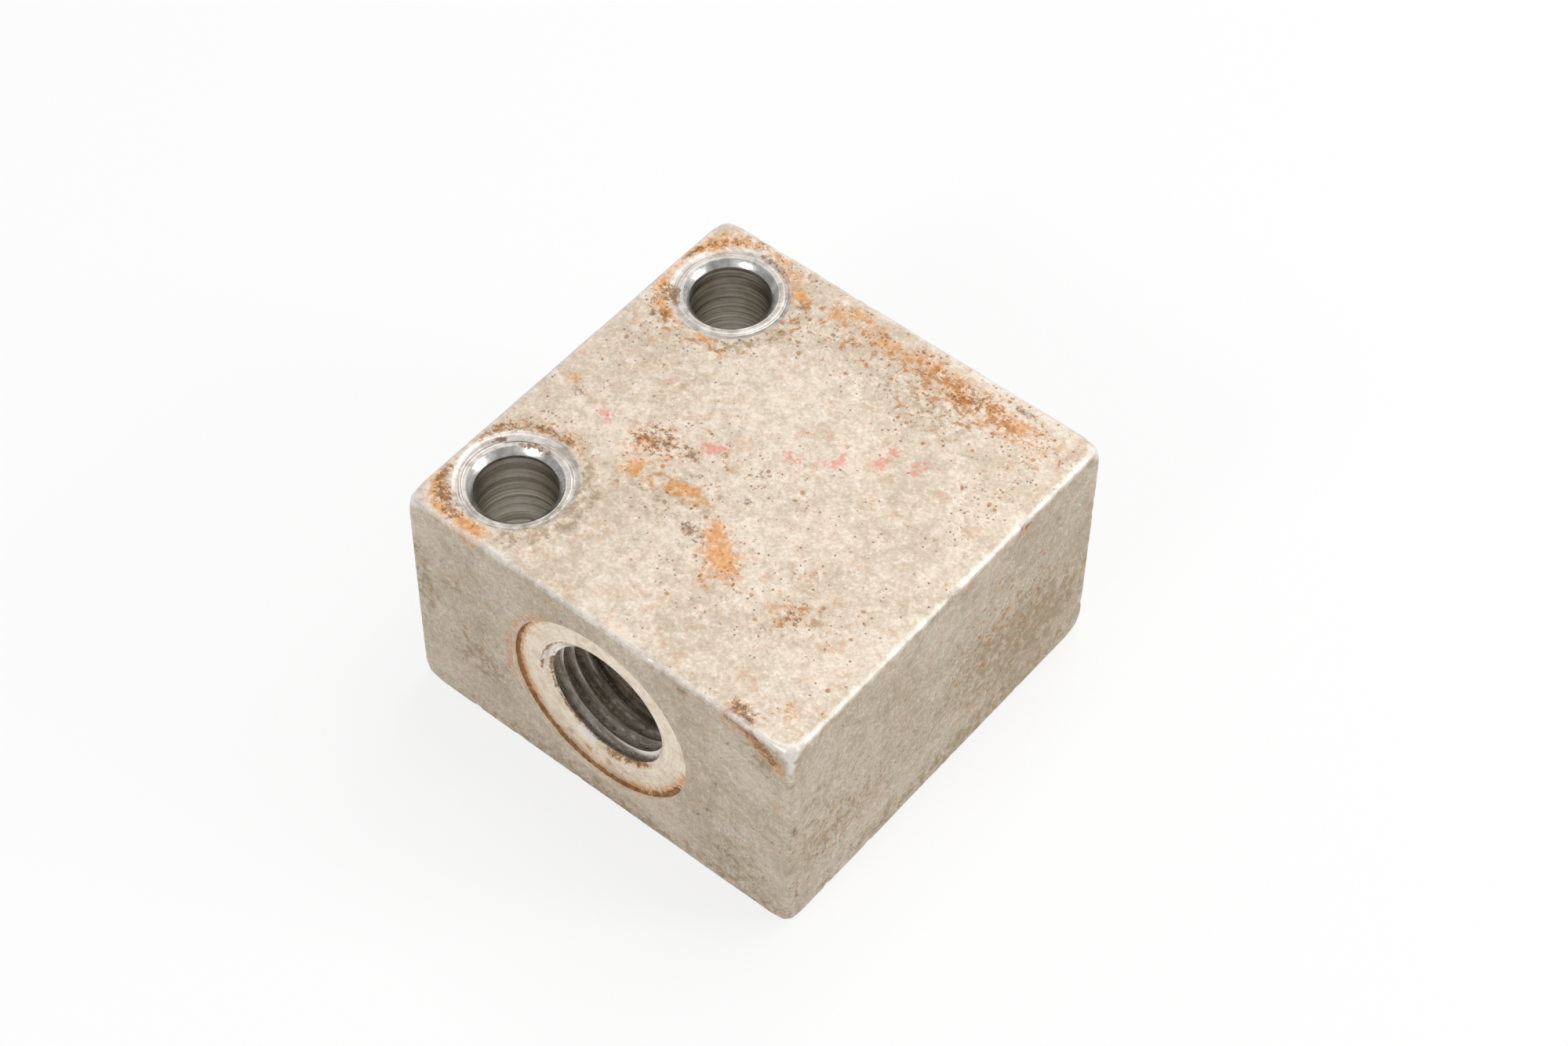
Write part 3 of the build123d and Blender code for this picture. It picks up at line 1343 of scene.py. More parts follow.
TOP_SIDE = MarkedSide(
    2,
    1,
    [
        # Orange stains near the middle and the front
        Mark(Tone.ORANGE, (3.6, -8.8), (2.2, 1.1), 1.0, -32),
        Mark(Tone.ORANGE, (3.0, -8.2), (3.2, 2.0), 0.34, -32),
        Mark(Tone.ORANGE, (1.6, -7.0), (1.3, 0.75), 0.9, -50),
        Mark(Tone.ORANGE, (-2.4, -5.2), (1.5, 0.7), 0.95, 0),
        Mark(Tone.ORANGE, (-4.4, -6.0), (2.2, 0.8), 0.55, 20),
        Mark(Tone.ORANGE, (-7.8, -6.0), (1.2, 1.0), 0.75, 20),
        Mark(Tone.BROWN, (-8.0, -2.9), (2.6, 1.6), 0.62, 10),
        Mark(Tone.ORANGE, (-8.2, -3.2), (3.4, 2.2), 0.55, 10),
        Mark(Tone.BROWN, (-0.4, -8.0), (1.0, 0.6), 0.6),
        Mark(Tone.BROWN, (0.8, -8.5), (0.9, 0.5), 0.55),
        Mark(Tone.BROWN, (1.6, -3.0), (0.8, 0.45), 0.6),
        Mark(Tone.BROWN, (0.8, 0.0), (0.8, 0.5), 0.5),
        Mark(Tone.BROWN, (-5.0, -2.1), (0.7, 0.5), 0.55),
        Mark(Tone.ORANGE, (-18.0, -2.0), (1.0, 0.8), 0.55),
        Mark(Tone.BROWN, (-16.6, -2.8), (0.7, 0.5), 0.6),
        Mark(Tone.ORANGE, (11.2, -9.6), (2.2, 1.6), 0.50, 30),
        Mark(Tone.BROWN, (11.4, -9.8), (1.4, 1.0), 0.40, 30),
        Mark(Tone.ORANGE, (17.2, -16.8), (1.3, 1.1), 0.45),
        Mark(Tone.ORANGE, (4.0, -11.6), (1.4, 0.9), 0.38),
        Mark(Tone.ORANGE, (10.4, -4.8), (1.3, 0.8), 0.32),
        # Rust along the back edge
        Mark(Tone.ORANGE, (-5.6, 17.4), (0.9, 0.7), 0.8),
        Mark(Tone.ORANGE, (-4.0, 18.6), (0.9, 0.5), 0.8),
        Mark(Tone.ORANGE, (-0.4, 17.6), (1.0, 0.6), 0.75),
        Mark(Tone.BROWN, (-1.0, 17.9), (0.7, 0.5), 0.6),
        Mark(Tone.ORANGE, (4.4, 18.0), (1.0, 0.5), 0.7),
        Mark(Tone.ORANGE, (7.6, 16.9), (1.2, 0.8), 0.85, -20),
        Mark(Tone.BROWN, (8.0, 16.4), (0.7, 0.5), 0.6),
        Mark(Tone.ORANGE, (10.8, 17.4), (1.0, 0.6), 0.8),
        Mark(Tone.BROWN, (13.0, 18.8), (1.4, 0.4), 0.75),
        Mark(Tone.ORANGE, (14.0, 17.3), (1.0, 0.6), 0.6),
        Mark(Tone.ORANGE, (1.0, 17.6), (8.0, 1.6), 0.42),
        Mark(Tone.ORANGE, (12.0, 16.8), (7.0, 2.2), 0.44),
        Mark(Tone.BROWN, (9.0, 17.2), (4.5, 1.2), 0.44),
        # Rust round the back screw hole
        Arc(Tone.ORANGE, BACK_HOLE, 5.9, 0.75, (100, 262), 0.72),
        Arc(Tone.BROWN, BACK_HOLE, 5.7, 0.35, (112, 182), 0.60),
        Arc(Tone.ORANGE, BACK_HOLE, 5.6, 0.8, (22, 100), 0.46),
        Mark(Tone.ORANGE, (-18.3, 16.9), (0.9, 1.2), 0.7, -30),
        Mark(Tone.BROWN, (-18.4, 10.0), (0.7, 1.1), 0.7, 20),
        Mark(Tone.BROWN, (-16.6, 8.0), (1.2, 0.5), 0.5, -20),
        Mark(Tone.ORANGE, (-12.4, 8.0), (1.4, 0.5), 0.75),
        Mark(Tone.ORANGE, (-9.2, 17.0), (0.9, 0.6), 0.85),
        Mark(Tone.BROWN, (-8.4, 16.2), (0.6, 0.5), 0.7),
        Mark(Tone.ORANGE, (-11.6, 18.0), (0.8, 0.4), 0.55),
        Mark(Tone.BROWN, (-9.7, 9.7), (0.8, 0.5), 0.55),
        Mark(Tone.BROWN, (-17.7, 7.6), (0.4, 0.3), 0.9),
        # Rust round the front screw hole
        Arc(Tone.BROWN, FRONT_HOLE, 5.75, 0.5, (72, 176), 0.66),
        Arc(Tone.ORANGE, FRONT_HOLE, 5.9, 0.8, (60, 185), 0.5),
        Arc(Tone.BROWN, FRONT_HOLE, 5.9, 0.65, (196, 262), 0.75),
        Arc(Tone.ORANGE, FRONT_HOLE, 6.3, 1.0, (190, 292), 0.72),
        Mark(Tone.ORANGE, (-13.8, -19.0), (1.6, 0.5), 0.7, 10),
        Arc(Tone.DIRT_AND_SHADE, FRONT_HOLE, 5.9, 1.0, (-75, 60), 0.5),
        Arc(Tone.DIRT_AND_SHADE, BACK_HOLE, 6.0, 0.9, (-110, 20), 0.4),
        # Stains and dark streaks on the rubbed rings and chamfers
        Arc(Tone.BROWN, FRONT_HOLE, 3.85, 0.25, (84, 132), 0.62),
        Arc(Tone.BLACK, FRONT_HOLE, 4.15, 0.09, (100, 150), 0.75),
        Arc(Tone.BLACK, FRONT_HOLE, 4.75, 0.16, (62, 92), 0.42),
        Arc(Tone.BROWN, FRONT_HOLE, 4.6, 0.3, (140, 160), 0.5),
        Arc(Tone.DIRT_AND_SHADE, FRONT_HOLE, 4.9, 0.5, (-60, 40), 0.5),
        Arc(Tone.BROWN, BACK_HOLE, 4.7, 0.5, (210, 238), 0.6),
        Arc(Tone.BROWN, BACK_HOLE, 5.0, 0.3, (60, 100), 0.5),
        Mark(Tone.BLACK, (-16.2, 16.0), (0.35, 0.28), 0.9),
        # Faded red paint, broken up past reading
        Mark(Tone.PAINT, (-3.6, 0.0), (0.8, 0.5), 0.62, 20),
        Mark(Tone.PAINT, (-4.6, -0.8), (1.2, 0.6), 0.45),
        Mark(Tone.PAINT, (4.6, 5.4), (0.45, 0.7), 0.8, -15),
        Mark(Tone.PAINT, (4.2, 4.2), (0.9, 0.5), 0.5),
        Mark(Tone.PAINT, (7.2, 8.6), (0.9, 0.35), 0.8),
        Mark(Tone.PAINT, (7.2, 7.0), (0.5, 0.8), 0.85, 20),
        Mark(Tone.PAINT, (10.0, 9.0), (0.7, 0.4), 0.72, 30),
        Mark(Tone.PAINT, (10.0, 8.0), (0.5, 0.4), 0.65),
        Mark(Tone.PAINT, (1.2, 2.8), (1.5, 0.8), 0.36),
        Mark(Tone.PAINT, (-13.2, -3.6), (1.4, 0.7), 0.38),
        # Broad dull patches
        Mark(Tone.DIRT_AND_SHADE, (-4.0, -6.0), (7.0, 4.0), 0.30, 20),
        Mark(Tone.DIRT_AND_SHADE, (12.0, -10.0), (5.0, 3.5), 0.26, 60),
        Mark(Tone.DIRT_AND_SHADE, (6.0, 14.0), (9.0, 3.0), 0.26),
        # Where specks lie thick
        Mark(Tone.SPECKS, (6.0, 16.8), (13.0, 2.6), 0.85),
        Mark(Tone.SPECKS, (-3.5, 14.0), (3.5, 3.0), 0.40),
        Mark(Tone.SPECKS, (6.0, 12.6), (4.5, 2.2), 0.60),
        Mark(Tone.SPECKS, (16.5, 10.0), (2.6, 6.0), 0.50),
        Mark(Tone.SPECKS, (-3.0, -1.0), (9.0, 3.5), 0.42),
        Mark(Tone.SPECKS, (2.0, -9.0), (6.0, 4.0), 0.36),
        Mark(Tone.SPECKS, (12.0, -8.0), (6.0, 5.0), 0.36),
        Mark(Tone.SPECKS, (-16.0, 3.0), (3.0, 5.0), 0.30),
        Arc(Tone.SPECKS, BACK_HOLE, 6.2, 1.4, (-180, 180), 0.60),
        Arc(Tone.SPECKS, FRONT_HOLE, 6.2, 1.2, (60, 300), 0.55),
    ],
)

PORT_SIDE = MarkedSide(
    1,
    -1,
    [
        Arc(Tone.BROWN, (13.2, 4.6), 7.2, 0.6, (40, 92), 0.9),
        Arc(Tone.ORANGE, (13.2, 4.6), 7.0, 1.0, (30, 96), 0.6),
        Mark(Tone.DIRT_AND_SHADE, (17.0, 9.0), (2.0, 2.2), 0.55, 30),
        Mark(Tone.ORANGE, (18.7, 3.7), (0.4, 0.9), 0.75),
        Mark(Tone.BROWN, (9.0, 10.9), (0.8, 0.35), 0.7),
        Mark(Tone.BROWN, (13.7, 8.0), (0.6, 0.4), 0.55),
        Mark(Tone.BROWN, (-8.4, 8.4), (0.35, 0.35), 0.75),
        Mark(Tone.BROWN, (12.2, 1.3), (0.5, 0.3), 0.6),
        Mark(Tone.BROWN, (11.6, -3.2), (0.6, 0.4), 0.5),
        Mark(Tone.BROWN, (10.3, -4.7), (0.8, 0.5), 0.55),
        Mark(Tone.BROWN, (13.2, -7.6), (0.8, 0.5), 0.6),
        Mark(Tone.BROWN, (-19.4, 6.0), (0.5, 1.0), 0.6),
        Mark(Tone.DIRT_AND_SHADE, (-18.6, 1.0), (1.2, 4.0), 0.6),
        Mark(Tone.DIRT_AND_SHADE, (-15.6, 3.4), (1.4, 1.4), 0.5),
        Mark(Tone.BROWN, (-12.4, 0.6), (0.6, 0.9), 0.5),
        Mark(Tone.DIRT_AND_SHADE, (-13.0, -4.0), (3.0, 2.6), 0.55),
        # A darker band along the bottom of the side
        Mark(Tone.DIRT_AND_SHADE, (0.0, -11.0), (18.0, 1.4), 0.5),
        Mark(Tone.DIRT_AND_SHADE, (15.0, -8.0), (4.0, 4.0), 0.42),
        Mark(Tone.BROWN, (18.4, -1.5), (0.4, 0.8), 0.5),
        # Rust in the corner of the spot face
        Arc(Tone.BROWN, PORT, 9.22, 0.22, (132, 212), 1.0, CORNER),
        Arc(Tone.BROWN, PORT, 9.25, 0.13, (205, 304), 1.0, CORNER),
        Arc(Tone.BROWN, PORT, 9.15, 0.32, (298, 336), 0.85, CORNER),
        Arc(Tone.ORANGE, PORT, 9.0, 0.45, (112, 222), 0.75, CORNER),
        Arc(Tone.ORANGE, PORT, 9.1, 0.30, (205, 300), 0.60, CORNER),
        Arc(Tone.ORANGE, PORT, 8.9, 0.70, (285, 350), 0.70, CORNER),
        Arc(Tone.ORANGE, PORT, 9.15, 0.30, (340, 392), 0.60, CORNER),
        Arc(Tone.ORANGE, PORT, 9.7, 0.45, (120, 205), 0.50, FACE),
        Mark(Tone.BROWN, (-3.6, 9.0), (0.3, 0.35), 0.7),
        # Dirt round the countersink and the mouth of the thread, and a painted highlight on the countersink
        # Dark brown arc in the thread's run-out groove: dirt, and the groove's painted shadow
        Arc(Tone.BROWN, THREAD, 6.52, 0.13, (118, 188), 0.75),
        Arc(Tone.BROWN, THREAD, 5.85, 0.16, (150, 350), 0.62),
        Arc(Tone.BROWN, THREAD, 6.1, 0.35, (266, 322), 0.66),
        Arc(Tone.ORANGE, THREAD, 6.2, 0.45, (268, 330), 0.5),
        Arc(Tone.DIRT_AND_SHADE, PORT, 7.8, 0.7, (228, 300), 0.42),
        Arc(Tone.ORANGE, PORT, 8.0, 0.8, (250, 275), 0.38),
        Mark(Tone.BROWN, (-7.6, 0.9), (0.4, 0.3), 0.5),
        # Painted highlight: a white glint on the countersink, below the mouth of the thread
        Arc(Tone.WEAR_AND_GLINT, THREAD, 6.25, 0.30, (240, 262), 1.0),
        Mark(Tone.SPECKS, (-13.0, -1.0), (4.5, 7.0), 0.40),
        Mark(Tone.SPECKS, (14.0, -3.0), (4.5, 6.0), 0.36),
    ],
    reach=1.6,
)

CLEAR_SIDE = MarkedSide(
    0,
    1,
    [
        Mark(Tone.DIRT_AND_SHADE, (9.0, -3.5), (8.5, 4.6), 0.72, -4),
        Mark(Tone.DIRT_AND_SHADE, (14.5, -4.0), (4.0, 3.0), 0.55),
        Mark(Tone.DIRT_AND_SHADE, (-13.0, -4.0), (4.0, 2.6), 0.55),
        # A darker band along the bottom of the side
        Mark(Tone.DIRT_AND_SHADE, (0.0, -10.6), (18.0, 1.6), 0.6),
        Mark(Tone.DIRT_AND_SHADE, (-17.0, 2.0), (2.0, 7.0), 0.35),
        Mark(Tone.BROWN, (-19.4, 1.0), (0.4, 1.2), 0.7),
        Mark(Tone.BROWN, (9.7, 11.5), (0.9, 0.35), 0.9),
        Mark(Tone.ORANGE, (9.4, 11.2), (1.2, 0.6), 0.6),
        Mark(Tone.BROWN, (-4.2, 11.6), (0.5, 0.3), 0.7),
        Mark(Tone.BROWN, (-2.5, 11.6), (0.4, 0.3), 0.6),
        Mark(Tone.ORANGE, (2.2, 11.2), (0.9, 0.5), 0.6),
        Mark(Tone.BROWN, (14.5, 7.8), (0.35, 0.35), 0.75),
        Mark(Tone.BROWN, (-19.0, -8.0), (0.5, 1.6), 0.5),
        Mark(Tone.BROWN, (-15.0, -11.0), (0.6, 0.4), 0.6),
        Mark(Tone.SPECKS, (8.0, 1.0), (7.0, 5.0), 0.50),
        Mark(Tone.SPECKS, (-12.0, -4.0), (6.0, 5.0), 0.34),
    ],
)

HIDDEN_SIDES = [
    MarkedSide(
        axis,
        sign,
        [
            Mark(Tone.DIRT_AND_SHADE, (2.0, -4.0), (12.0, 5.0), 0.5, 8),
            Mark(Tone.ORANGE, (-9.0, 5.0), (2.4, 1.4), 0.5, 20),
            Mark(Tone.BROWN, (11.0, -2.0), (1.6, 1.0), 0.5, 40),
            Mark(Tone.SPECKS, (-4.0, 0.0), (12.0, 8.0), 0.4),
        ],
    )
    for axis, sign in ((0, -1), (1, 1), (2, -1))
]
MARKED_SIDES = [TOP_SIDE, PORT_SIDE, CLEAR_SIDE, *HIDDEN_SIDES]

# Pits in the top, the port's side and the side that faces +X, from the middle of each
TOP_PITS: list[tuple[float, float, float]] = [
    (1.1, 12.5, 0.22), (-1.4, 7.8, 0.28), (-17.7, 7.5, 0.34), (-10.6, 3.0, 0.30), (-1.6, 0.9, 0.24),
    (2.6, 2.8, 0.30), (-4.3, -4.7, 0.26), (4.0, 6.6, 0.26), (1.4, -13.8, 0.22), (4.2, -13.4, 0.26),
    (6.0, -14.3, 0.22), (-8.5, -17.7, 0.30), (3.0, -1.0, 0.20), (-5.0, -1.2, 0.20),
]
PORT_PITS: list[tuple[float, float, float]] = [
    (13.7, 8.0, 0.22), (12.2, 1.3, 0.24), (11.6, -3.2, 0.26), (13.2, -7.6, 0.28), (-13.6, 3.0, 0.24),
]
CLEAR_PITS: list[tuple[float, float, float]] = [
    (4.3, 2.2, 0.22), (5.7, 3.8, 0.18), (8.0, 2.2, 0.22), (9.4, 1.8, 0.20), (11.6, 3.4, 0.22),
    (2.8, 0.4, 0.24), (5.0, 5.9, 0.18), (14.5, 7.8, 0.24),
]


@dataclass
class MountingBlock:
    """The whole block: its skin gathered from its sides, holes and port, then worn and marked."""

    half: np.ndarray
    middle: np.ndarray
    holes: Sequence[ScrewHole]
    port: TappedPort
    name: str = "worn_block"

    NICK_SEED: ClassVar[int] = 17
    NICKS: ClassVar[int] = 36  # small random ones, beside those that are placed
    NICK_REACH: ClassVar[Pair] = (0.3, 0.7)
    NICK_DEPTH: ClassVar[float] = 0.11  # as a share of the reach
    NICK_SPAN: ClassVar[float] = 0.95  # share of an edge along which they may lie
    HIGH: ClassVar[Pair] = (0.4, 0.98)  # heights between which wear grows, in halves of the block
    LOW_WEAR: ClassVar[float] = 0.30  # wear at the bottom, as a share of that at the top
    EDGE_FADE: ClassVar[Pair] = (0.12, 0.85)  # distances from an edge between which wear fades
    CORNER_FADE: ClassVar[Pair] = (0.6, 1.9)  # the same from a corner
    TAPPED_FROM: ClassVar[float] = 1.3  # depth below which the port's wall counts as thread
    # Painted shade and dirt in the thread's roots, at the full depth of the groove
    ROOT_SHADE_AND_DIRT: ClassVar[float] = 0.55
    CREST_EDGE: ClassVar[float] = 0.2  # depth of groove at which a crest's painted highlight has gone
    CREST_DIM: ClassVar[Pair] = (10.0, 14.0)  # depths between which the crests' painted highlight fades, as painted shade deeper in the port

    def _pits(self) -> dict[int, list[Pit]]:
        """The pits of each side that has them, by the axis that the side faces along."""
        top, port, clear = self.half[2], -self.half[1], self.half[0]
        return {
            2: [Pit((x, y, top), reach, 0.6 * reach) for x, y, reach in TOP_PITS],
            1: [Pit((x, port, z), reach, 0.5 * reach) for x, z, reach in PORT_PITS],
            0: [Pit((clear, y, z), reach, 0.5 * reach) for y, z, reach in CLEAR_PITS],
        }

    def _nicks(self) -> list[Pit]:
        """Dents along the edges, where the block has been knocked."""
        hx, hy, hz = self.half
        rng = np.random.default_rng(self.NICK_SEED)
        nicks = [
            Pit((hx, 0.4, hz), 0.75, 0.30),
            Pit((hx, -15.0, -hz), 0.5, 0.12),
            Pit((hx, 9.6, hz), 0.7, 0.20),
            Pit((-14.0, -hy, -hz), 0.5, 0.10),
            Pit((6.0, -hy, hz), 0.5, 0.10),
        ]
        for _ in range(self.NICKS):
            axis = int(rng.integers(0, 3))
            at = self.half * rng.choice([-1, 1], 3)
            at[axis] = rng.uniform(-self.NICK_SPAN, self.NICK_SPAN) * self.half[axis]
            reach = float(rng.uniform(*self.NICK_REACH))
            nicks.append(Pit(tuple(at), reach, self.NICK_DEPTH * reach))
        return nicks

    def _gather(self, pits: dict[int, list[Pit]]) -> Shell:
        """Nets the six sides and adds the holes and the port.

        Args:
            pits: The pits of each side.

        Returns:
            The sharp block's skin.
        """
        shell = Shell()
        mouths = [hole.openings() for hole in self.holes]
        tops, bottoms = ([pair[i] for pair in mouths] for i in (0, 1))
        plain = Zone.PLAIN_SIDE
        sides = [
            FlatSide(self.half, 2, 1, Zone.TOP, 0.42, openings=tops, pits=pits[2], seed=1),
            FlatSide(
                self.half, 1, -1, Zone.PORT_SIDE, 0.5, openings=[self.port.opening()], pits=pits[1], seed=2
            ),
            FlatSide(self.half, 0, 1, plain, 0.5, pits=pits[0], seed=3),
            FlatSide(self.half, 2, -1, plain, 0.9, openings=bottoms, seed=4),
            FlatSide(self.half, 1, 1, plain, 0.8, seed=5),
            FlatSide(self.half, 0, -1, plain, 0.8, seed=6),
        ]
        for side in sides:
            side.add_to(shell)
        for hole in self.holes:
            hole.add_to(shell)
        self.port.add_to(shell)
        return shell

    def _fields(self, points: np.ndarray) -> dict[str, np.ndarray]:
        """Strengths of the marks, with painted highlights on the thread's crests and painted shade in its
        roots, and the distance from the nearest turning centre.

        Args:
            points: Places on the sharp block.

        Returns:
            The fields, by name.
        """
        fields = {tone.value: np.zeros(len(points)) for tone in Tone}
        for side in MARKED_SIDES:
            for tone, share in side.cover(points, self.half).items():
                fields[tone.value] = 1 - (1 - fields[tone.value]) * (1 - share)

        gaps = np.sort(self.half - np.abs(points), axis=1)
        from_edge = np.hypot(gaps[:, 0], gaps[:, 1])
        upper = self.LOW_WEAR + (1 - self.LOW_WEAR) * step(*self.HIGH, points[:, 2] / self.half[2])
        worn = (1 - step(*self.EDGE_FADE, from_edge)) * upper * (0.74 + 0.25 * ripple(points, 3.2, 5.5))
        corner = 1 - step(*self.CORNER_FADE, np.linalg.norm(self.half - np.abs(points), axis=1))
        bare = np.clip(np.maximum(worn, corner * upper), 0, 1)

        away = points[:, [0, 2]] - np.array(self.port.centre) - np.array(self.port.drift)
        port_reach = np.hypot(*away.T)
        depth = points[:, 1] - self.port.face
        in_port = (port_reach < self.port.major_radius + 0.01) & (depth > self.port.spot_depth - 0.01)
        groove = self.port.groove(np.degrees(np.arctan2(away[:, 1], away[:, 0])) % 360, depth)
        tapped = in_port & (depth > self.TAPPED_FROM)
        # In the thread, the dirt field gives way to painted shade and dirt in the roots
        fields[Tone.DIRT_AND_SHADE.value] = np.where(tapped, self.ROOT_SHADE_AND_DIRT * groove, fields[Tone.DIRT_AND_SHADE.value])
        # In the thread, bare holds a painted highlight on the crests, fading as painted shade deeper in the
        # port
        crest = (1 - step(0.0, self.CREST_EDGE, groove)) * (0.25 + 0.3 * ripple(points, 1.6, 9.1))
        bare = np.where(tapped, np.clip(crest, 0, 1) * (1 - step(*self.CREST_DIM, depth)), bare)
        fields[Tone.WEAR_AND_GLINT.value] = np.maximum(fields[Tone.WEAR_AND_GLINT.value], bare)

        hole_reach = np.min(
            [np.hypot(*(points[:, :2] - np.array(hole.centre)).T) for hole in self.holes], axis=0
        )
        face_reach = np.hypot(*(points[:, [0, 2]] - np.array(self.port.centre)).T)
        fields["ring_radius"] = np.where(
            (depth < 1.5) & (face_reach < self.port.spot_radius + 0.1), face_reach, hole_reach
        )
        return fields

    def build(self) -> bpy.types.Object:
        """Makes the block and lays it on the frame.

        Returns:
            The finished object.
        """
        pits = self._pits()
        mesh = self._gather(pits).closed_mesh(self.name)
        sharp = np.empty(len(mesh.vertices) * 3)
        mesh.vertices.foreach_get("co", sharp)
        sharp = sharp.reshape(-1, 3)
        wear = Wear(self.half, [*self._nicks(), *(pit for side in pits.values() for pit in side)])
        placed = (wear.shape(sharp) + self.middle) * MM
        mesh.vertices.foreach_set("co", placed.ravel())
        for name, values in self._fields(sharp).items():
            mesh.attributes.new(name, "FLOAT", "POINT").data.foreach_set("value", values)
        for zone in Zone:
            mesh.materials.append(FINISHES[zone].build())
        mesh.polygons.foreach_set("use_smooth", np.ones(len(mesh.polygons), bool))
        mesh.set_sharp_from_angle(angle=SHARP_ANGLE)
        mesh.update()
        block = bpy.data.objects.new(self.name, mesh)
        bpy.context.scene.collection.objects.link(block)
        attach(block, "root")
        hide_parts("mounting_block")
        triangles = sum(len(face.vertices) - 2 for face in mesh.polygons)
        LOG.info("%s: %d points, %d triangles", self.name, len(mesh.vertices), triangles)
        return block


# ---------------------------------------------------------------------------------------------
# Studio
# ---------------------------------------------------------------------------------------------


@dataclass(frozen=True)
class SoftLight:
    """A square soft light that faces the block from a given direction."""

    name: str
    turn: float
    rise: float
    distance: float
    size: float
    power: float

    def build(self, target: Vector) -> bpy.types.Object:
        """Hangs the light.

        Args:
            target: What it faces.

        Returns:
            The lamp.
        """
        lamp = bpy.data.lights.new(self.name, "AREA")
        lamp.shape = "SQUARE"
        lamp.size = self.size
        lamp.energy = self.power
        hung = bpy.data.objects.new(self.name, lamp)
        turn, rise = math.radians(self.turn), math.radians(self.rise)
        away = Vector((math.cos(rise) * math.cos(turn), math.cos(rise) * math.sin(turn), math.sin(rise)))
        hung.location = target + away * self.distance
        hung.rotation_euler = away.to_track_quat("Z", "Y").to_euler()
        bpy.context.scene.collection.objects.link(hung)
        return hung


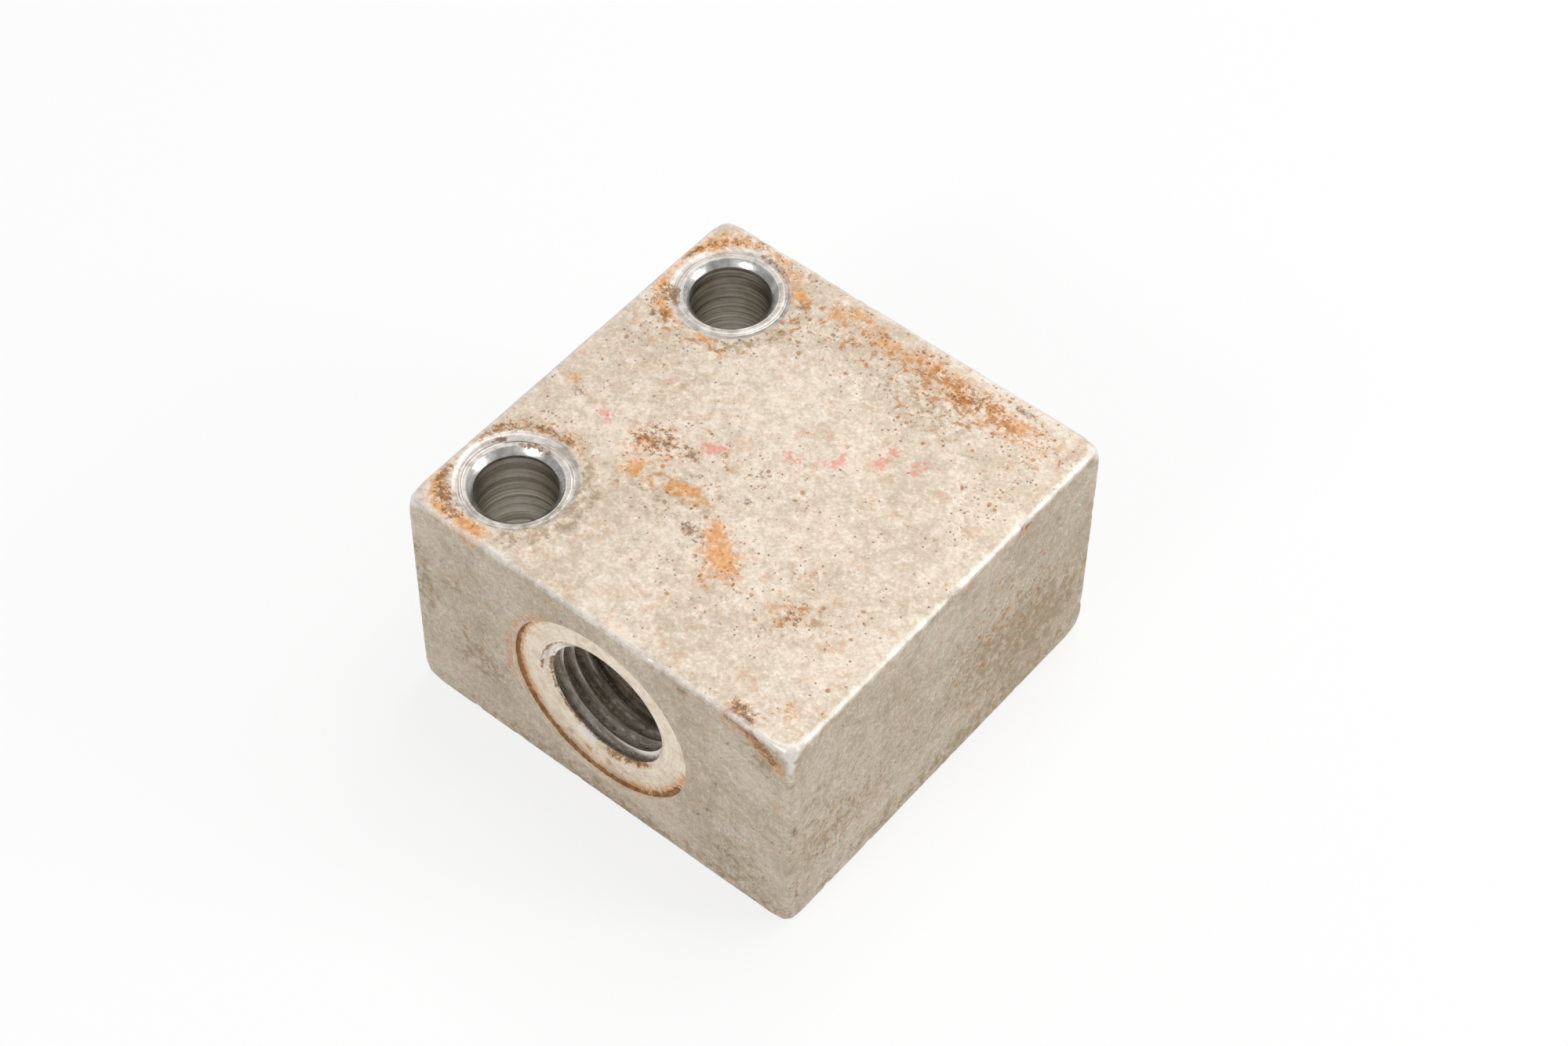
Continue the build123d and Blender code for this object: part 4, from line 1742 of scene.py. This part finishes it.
@dataclass
class Studio:
    """A pale floor, a soft sky, soft lights and the camera."""

    target: Vector
    sky: float = 0.42
    floor_size: float = 6.0
    floor_white: float = 0.78
    camera_place: Triple = (0.114127, -0.139837, 0.244848)
    camera_target: Triple = (-0.000798, 0.004678, 0.012)
    camera_roll: float = 1.06
    lens: float = 80.978
    lights: Sequence[SoftLight] = (
        SoftLight("overhead", 85.0, 65.0, 0.60, 0.42, 1.9),
        SoftLight("right_window", 33.0, 26.0, 0.55, 0.16, 0.9),
        SoftLight("front_window", -91.0, 37.0, 0.55, 0.16, 0.8),
    )

    def _floor(self) -> bpy.types.Object:
        """The floor, white where no shadow falls."""
        h = self.floor_size / 2
        mesh = bpy.data.meshes.new("floor")
        mesh.from_pydata([(-h, -h, 0), (h, -h, 0), (h, h, 0), (-h, h, 0)], [], [(0, 1, 2, 3)])
        material = bpy.data.materials.new("floor_paper")
        material.use_nodes = True
        shader = Shader(material.node_tree)
        paper = shader.node("ShaderNodeBsdfDiffuse", {}, {"Color": PAPER})
        glow = shader.node("ShaderNodeEmission", {}, {"Color": WHITE, "Strength": 1.0})
        seen = [
            shader.node(
                "ShaderNodeLightPath", output=f"Is {ray} Ray"
            ) for ray in ("Camera", "Glossy", "Transmission")
        ]
        share = seen[0].larger(seen[1]).larger(seen[2]) * self.floor_white
        mixed = shader.node("ShaderNodeMixShader", {}, {0: share, 1: paper, 2: glow})
        shader.node("ShaderNodeOutputMaterial", {}, {"Surface": mixed})
        mesh.materials.append(material)
        floor = bpy.data.objects.new("floor", mesh)
        floor.location.z = -FLOOR_DROP
        bpy.context.scene.collection.objects.link(floor)
        return floor

    def _sky(self) -> None:
        """The world: white to the camera, softer as light."""
        world = bpy.data.worlds.new("soft_sky")
        world.use_nodes = True
        shader = Shader(world.node_tree)
        camera = shader.node("ShaderNodeLightPath", output="Is Camera Ray")
        strength = self.sky + camera * (1.0 - self.sky)
        sky = shader.node("ShaderNodeBackground", {}, {"Color": WHITE, "Strength": strength})
        shader.node("ShaderNodeOutputWorld", {}, {"Surface": sky})
        bpy.context.scene.world = world

    def _camera(self) -> bpy.types.Object:
        """The camera, aimed, then rolled about its line of sight."""
        place, target = Vector(self.camera_place), Vector(self.camera_target)
        forward = (target - place).normalized()
        level = forward.cross(Vector((0, 0, 1))).normalized()
        upright = level.cross(forward)
        roll = math.radians(self.camera_roll)
        right = level * math.cos(roll) + upright * math.sin(roll)
        up = right.cross(forward)
        camera = bpy.data.cameras.new("camera")
        camera.lens = self.lens
        camera.clip_start = 0.01
        stand = bpy.data.objects.new("camera", camera)
        stand.matrix_world = Matrix.Translation(place) @ Matrix((right, up, -forward)).transposed().to_4x4()
        bpy.context.scene.collection.objects.link(stand)
        bpy.context.scene.camera = stand
        return stand

    def build(self) -> None:
        """Sets up everything round the block."""
        self._floor()
        self._sky()
        self._camera()
        for light in self.lights:
            light.build(self.target)
            LOG.info("light %s", light.name)
        bpy.context.scene.view_settings.view_transform = "Standard"


def packed_mount(name: str) -> dict:
    """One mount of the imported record.

    Args:
        name: The mount's name.

    Returns:
        The mount.
    """
    return next(mount for mount in frame["record"]["mounts"] if mount["name"] == name)


def screw_hole(name: str, middle: np.ndarray, half: np.ndarray, seat_shift: Pair, seed: float) -> ScrewHole:
    """A screw hole at its packed place and size.

    Args:
        name: The hole's mount.
        middle: The block's middle.
        half: The block's half sizes.
        seat_shift: How far the screw head stood off the hole's centre.
        seed: Makes the tool marks differ.

    Returns:
        The hole.
    """
    mount = packed_mount(name)
    x, y = (mount["pos_m"][i] / MM - middle[i] for i in (0, 1))
    return ScrewHole((x, y), mount["dims"]["r_mm"], half[2], seat_shift, seed=seed)


def main() -> None:
    """Builds the block and its setting, and reports each piece."""
    logging.basicConfig(level=logging.INFO, format="%(name)s: %(message)s")
    low, high = (np.array(corner) / MM for corner in packed_box)
    half, middle = (high - low) / 2, (high + low) / 2
    Studio(Vector(middle * MM)).build()

    holes = [
        screw_hole("screw_hole_back", middle, half, (0.0, 0.0), 1.0),
        screw_hole("screw_hole_front", middle, half, (-0.26, 0.33), 2.0),
    ]
    mount = packed_mount("port")
    centre = (mount["pos_m"][0] / MM - middle[0], mount["pos_m"][2] / MM - middle[2])
    port = TappedPort(centre, -half[1], mount["dims"]["r_mm"])
    MountingBlock(half, middle, holes, port).build()

    bpy.context.view_layer.update()


if __name__ == "__main__":
    main()
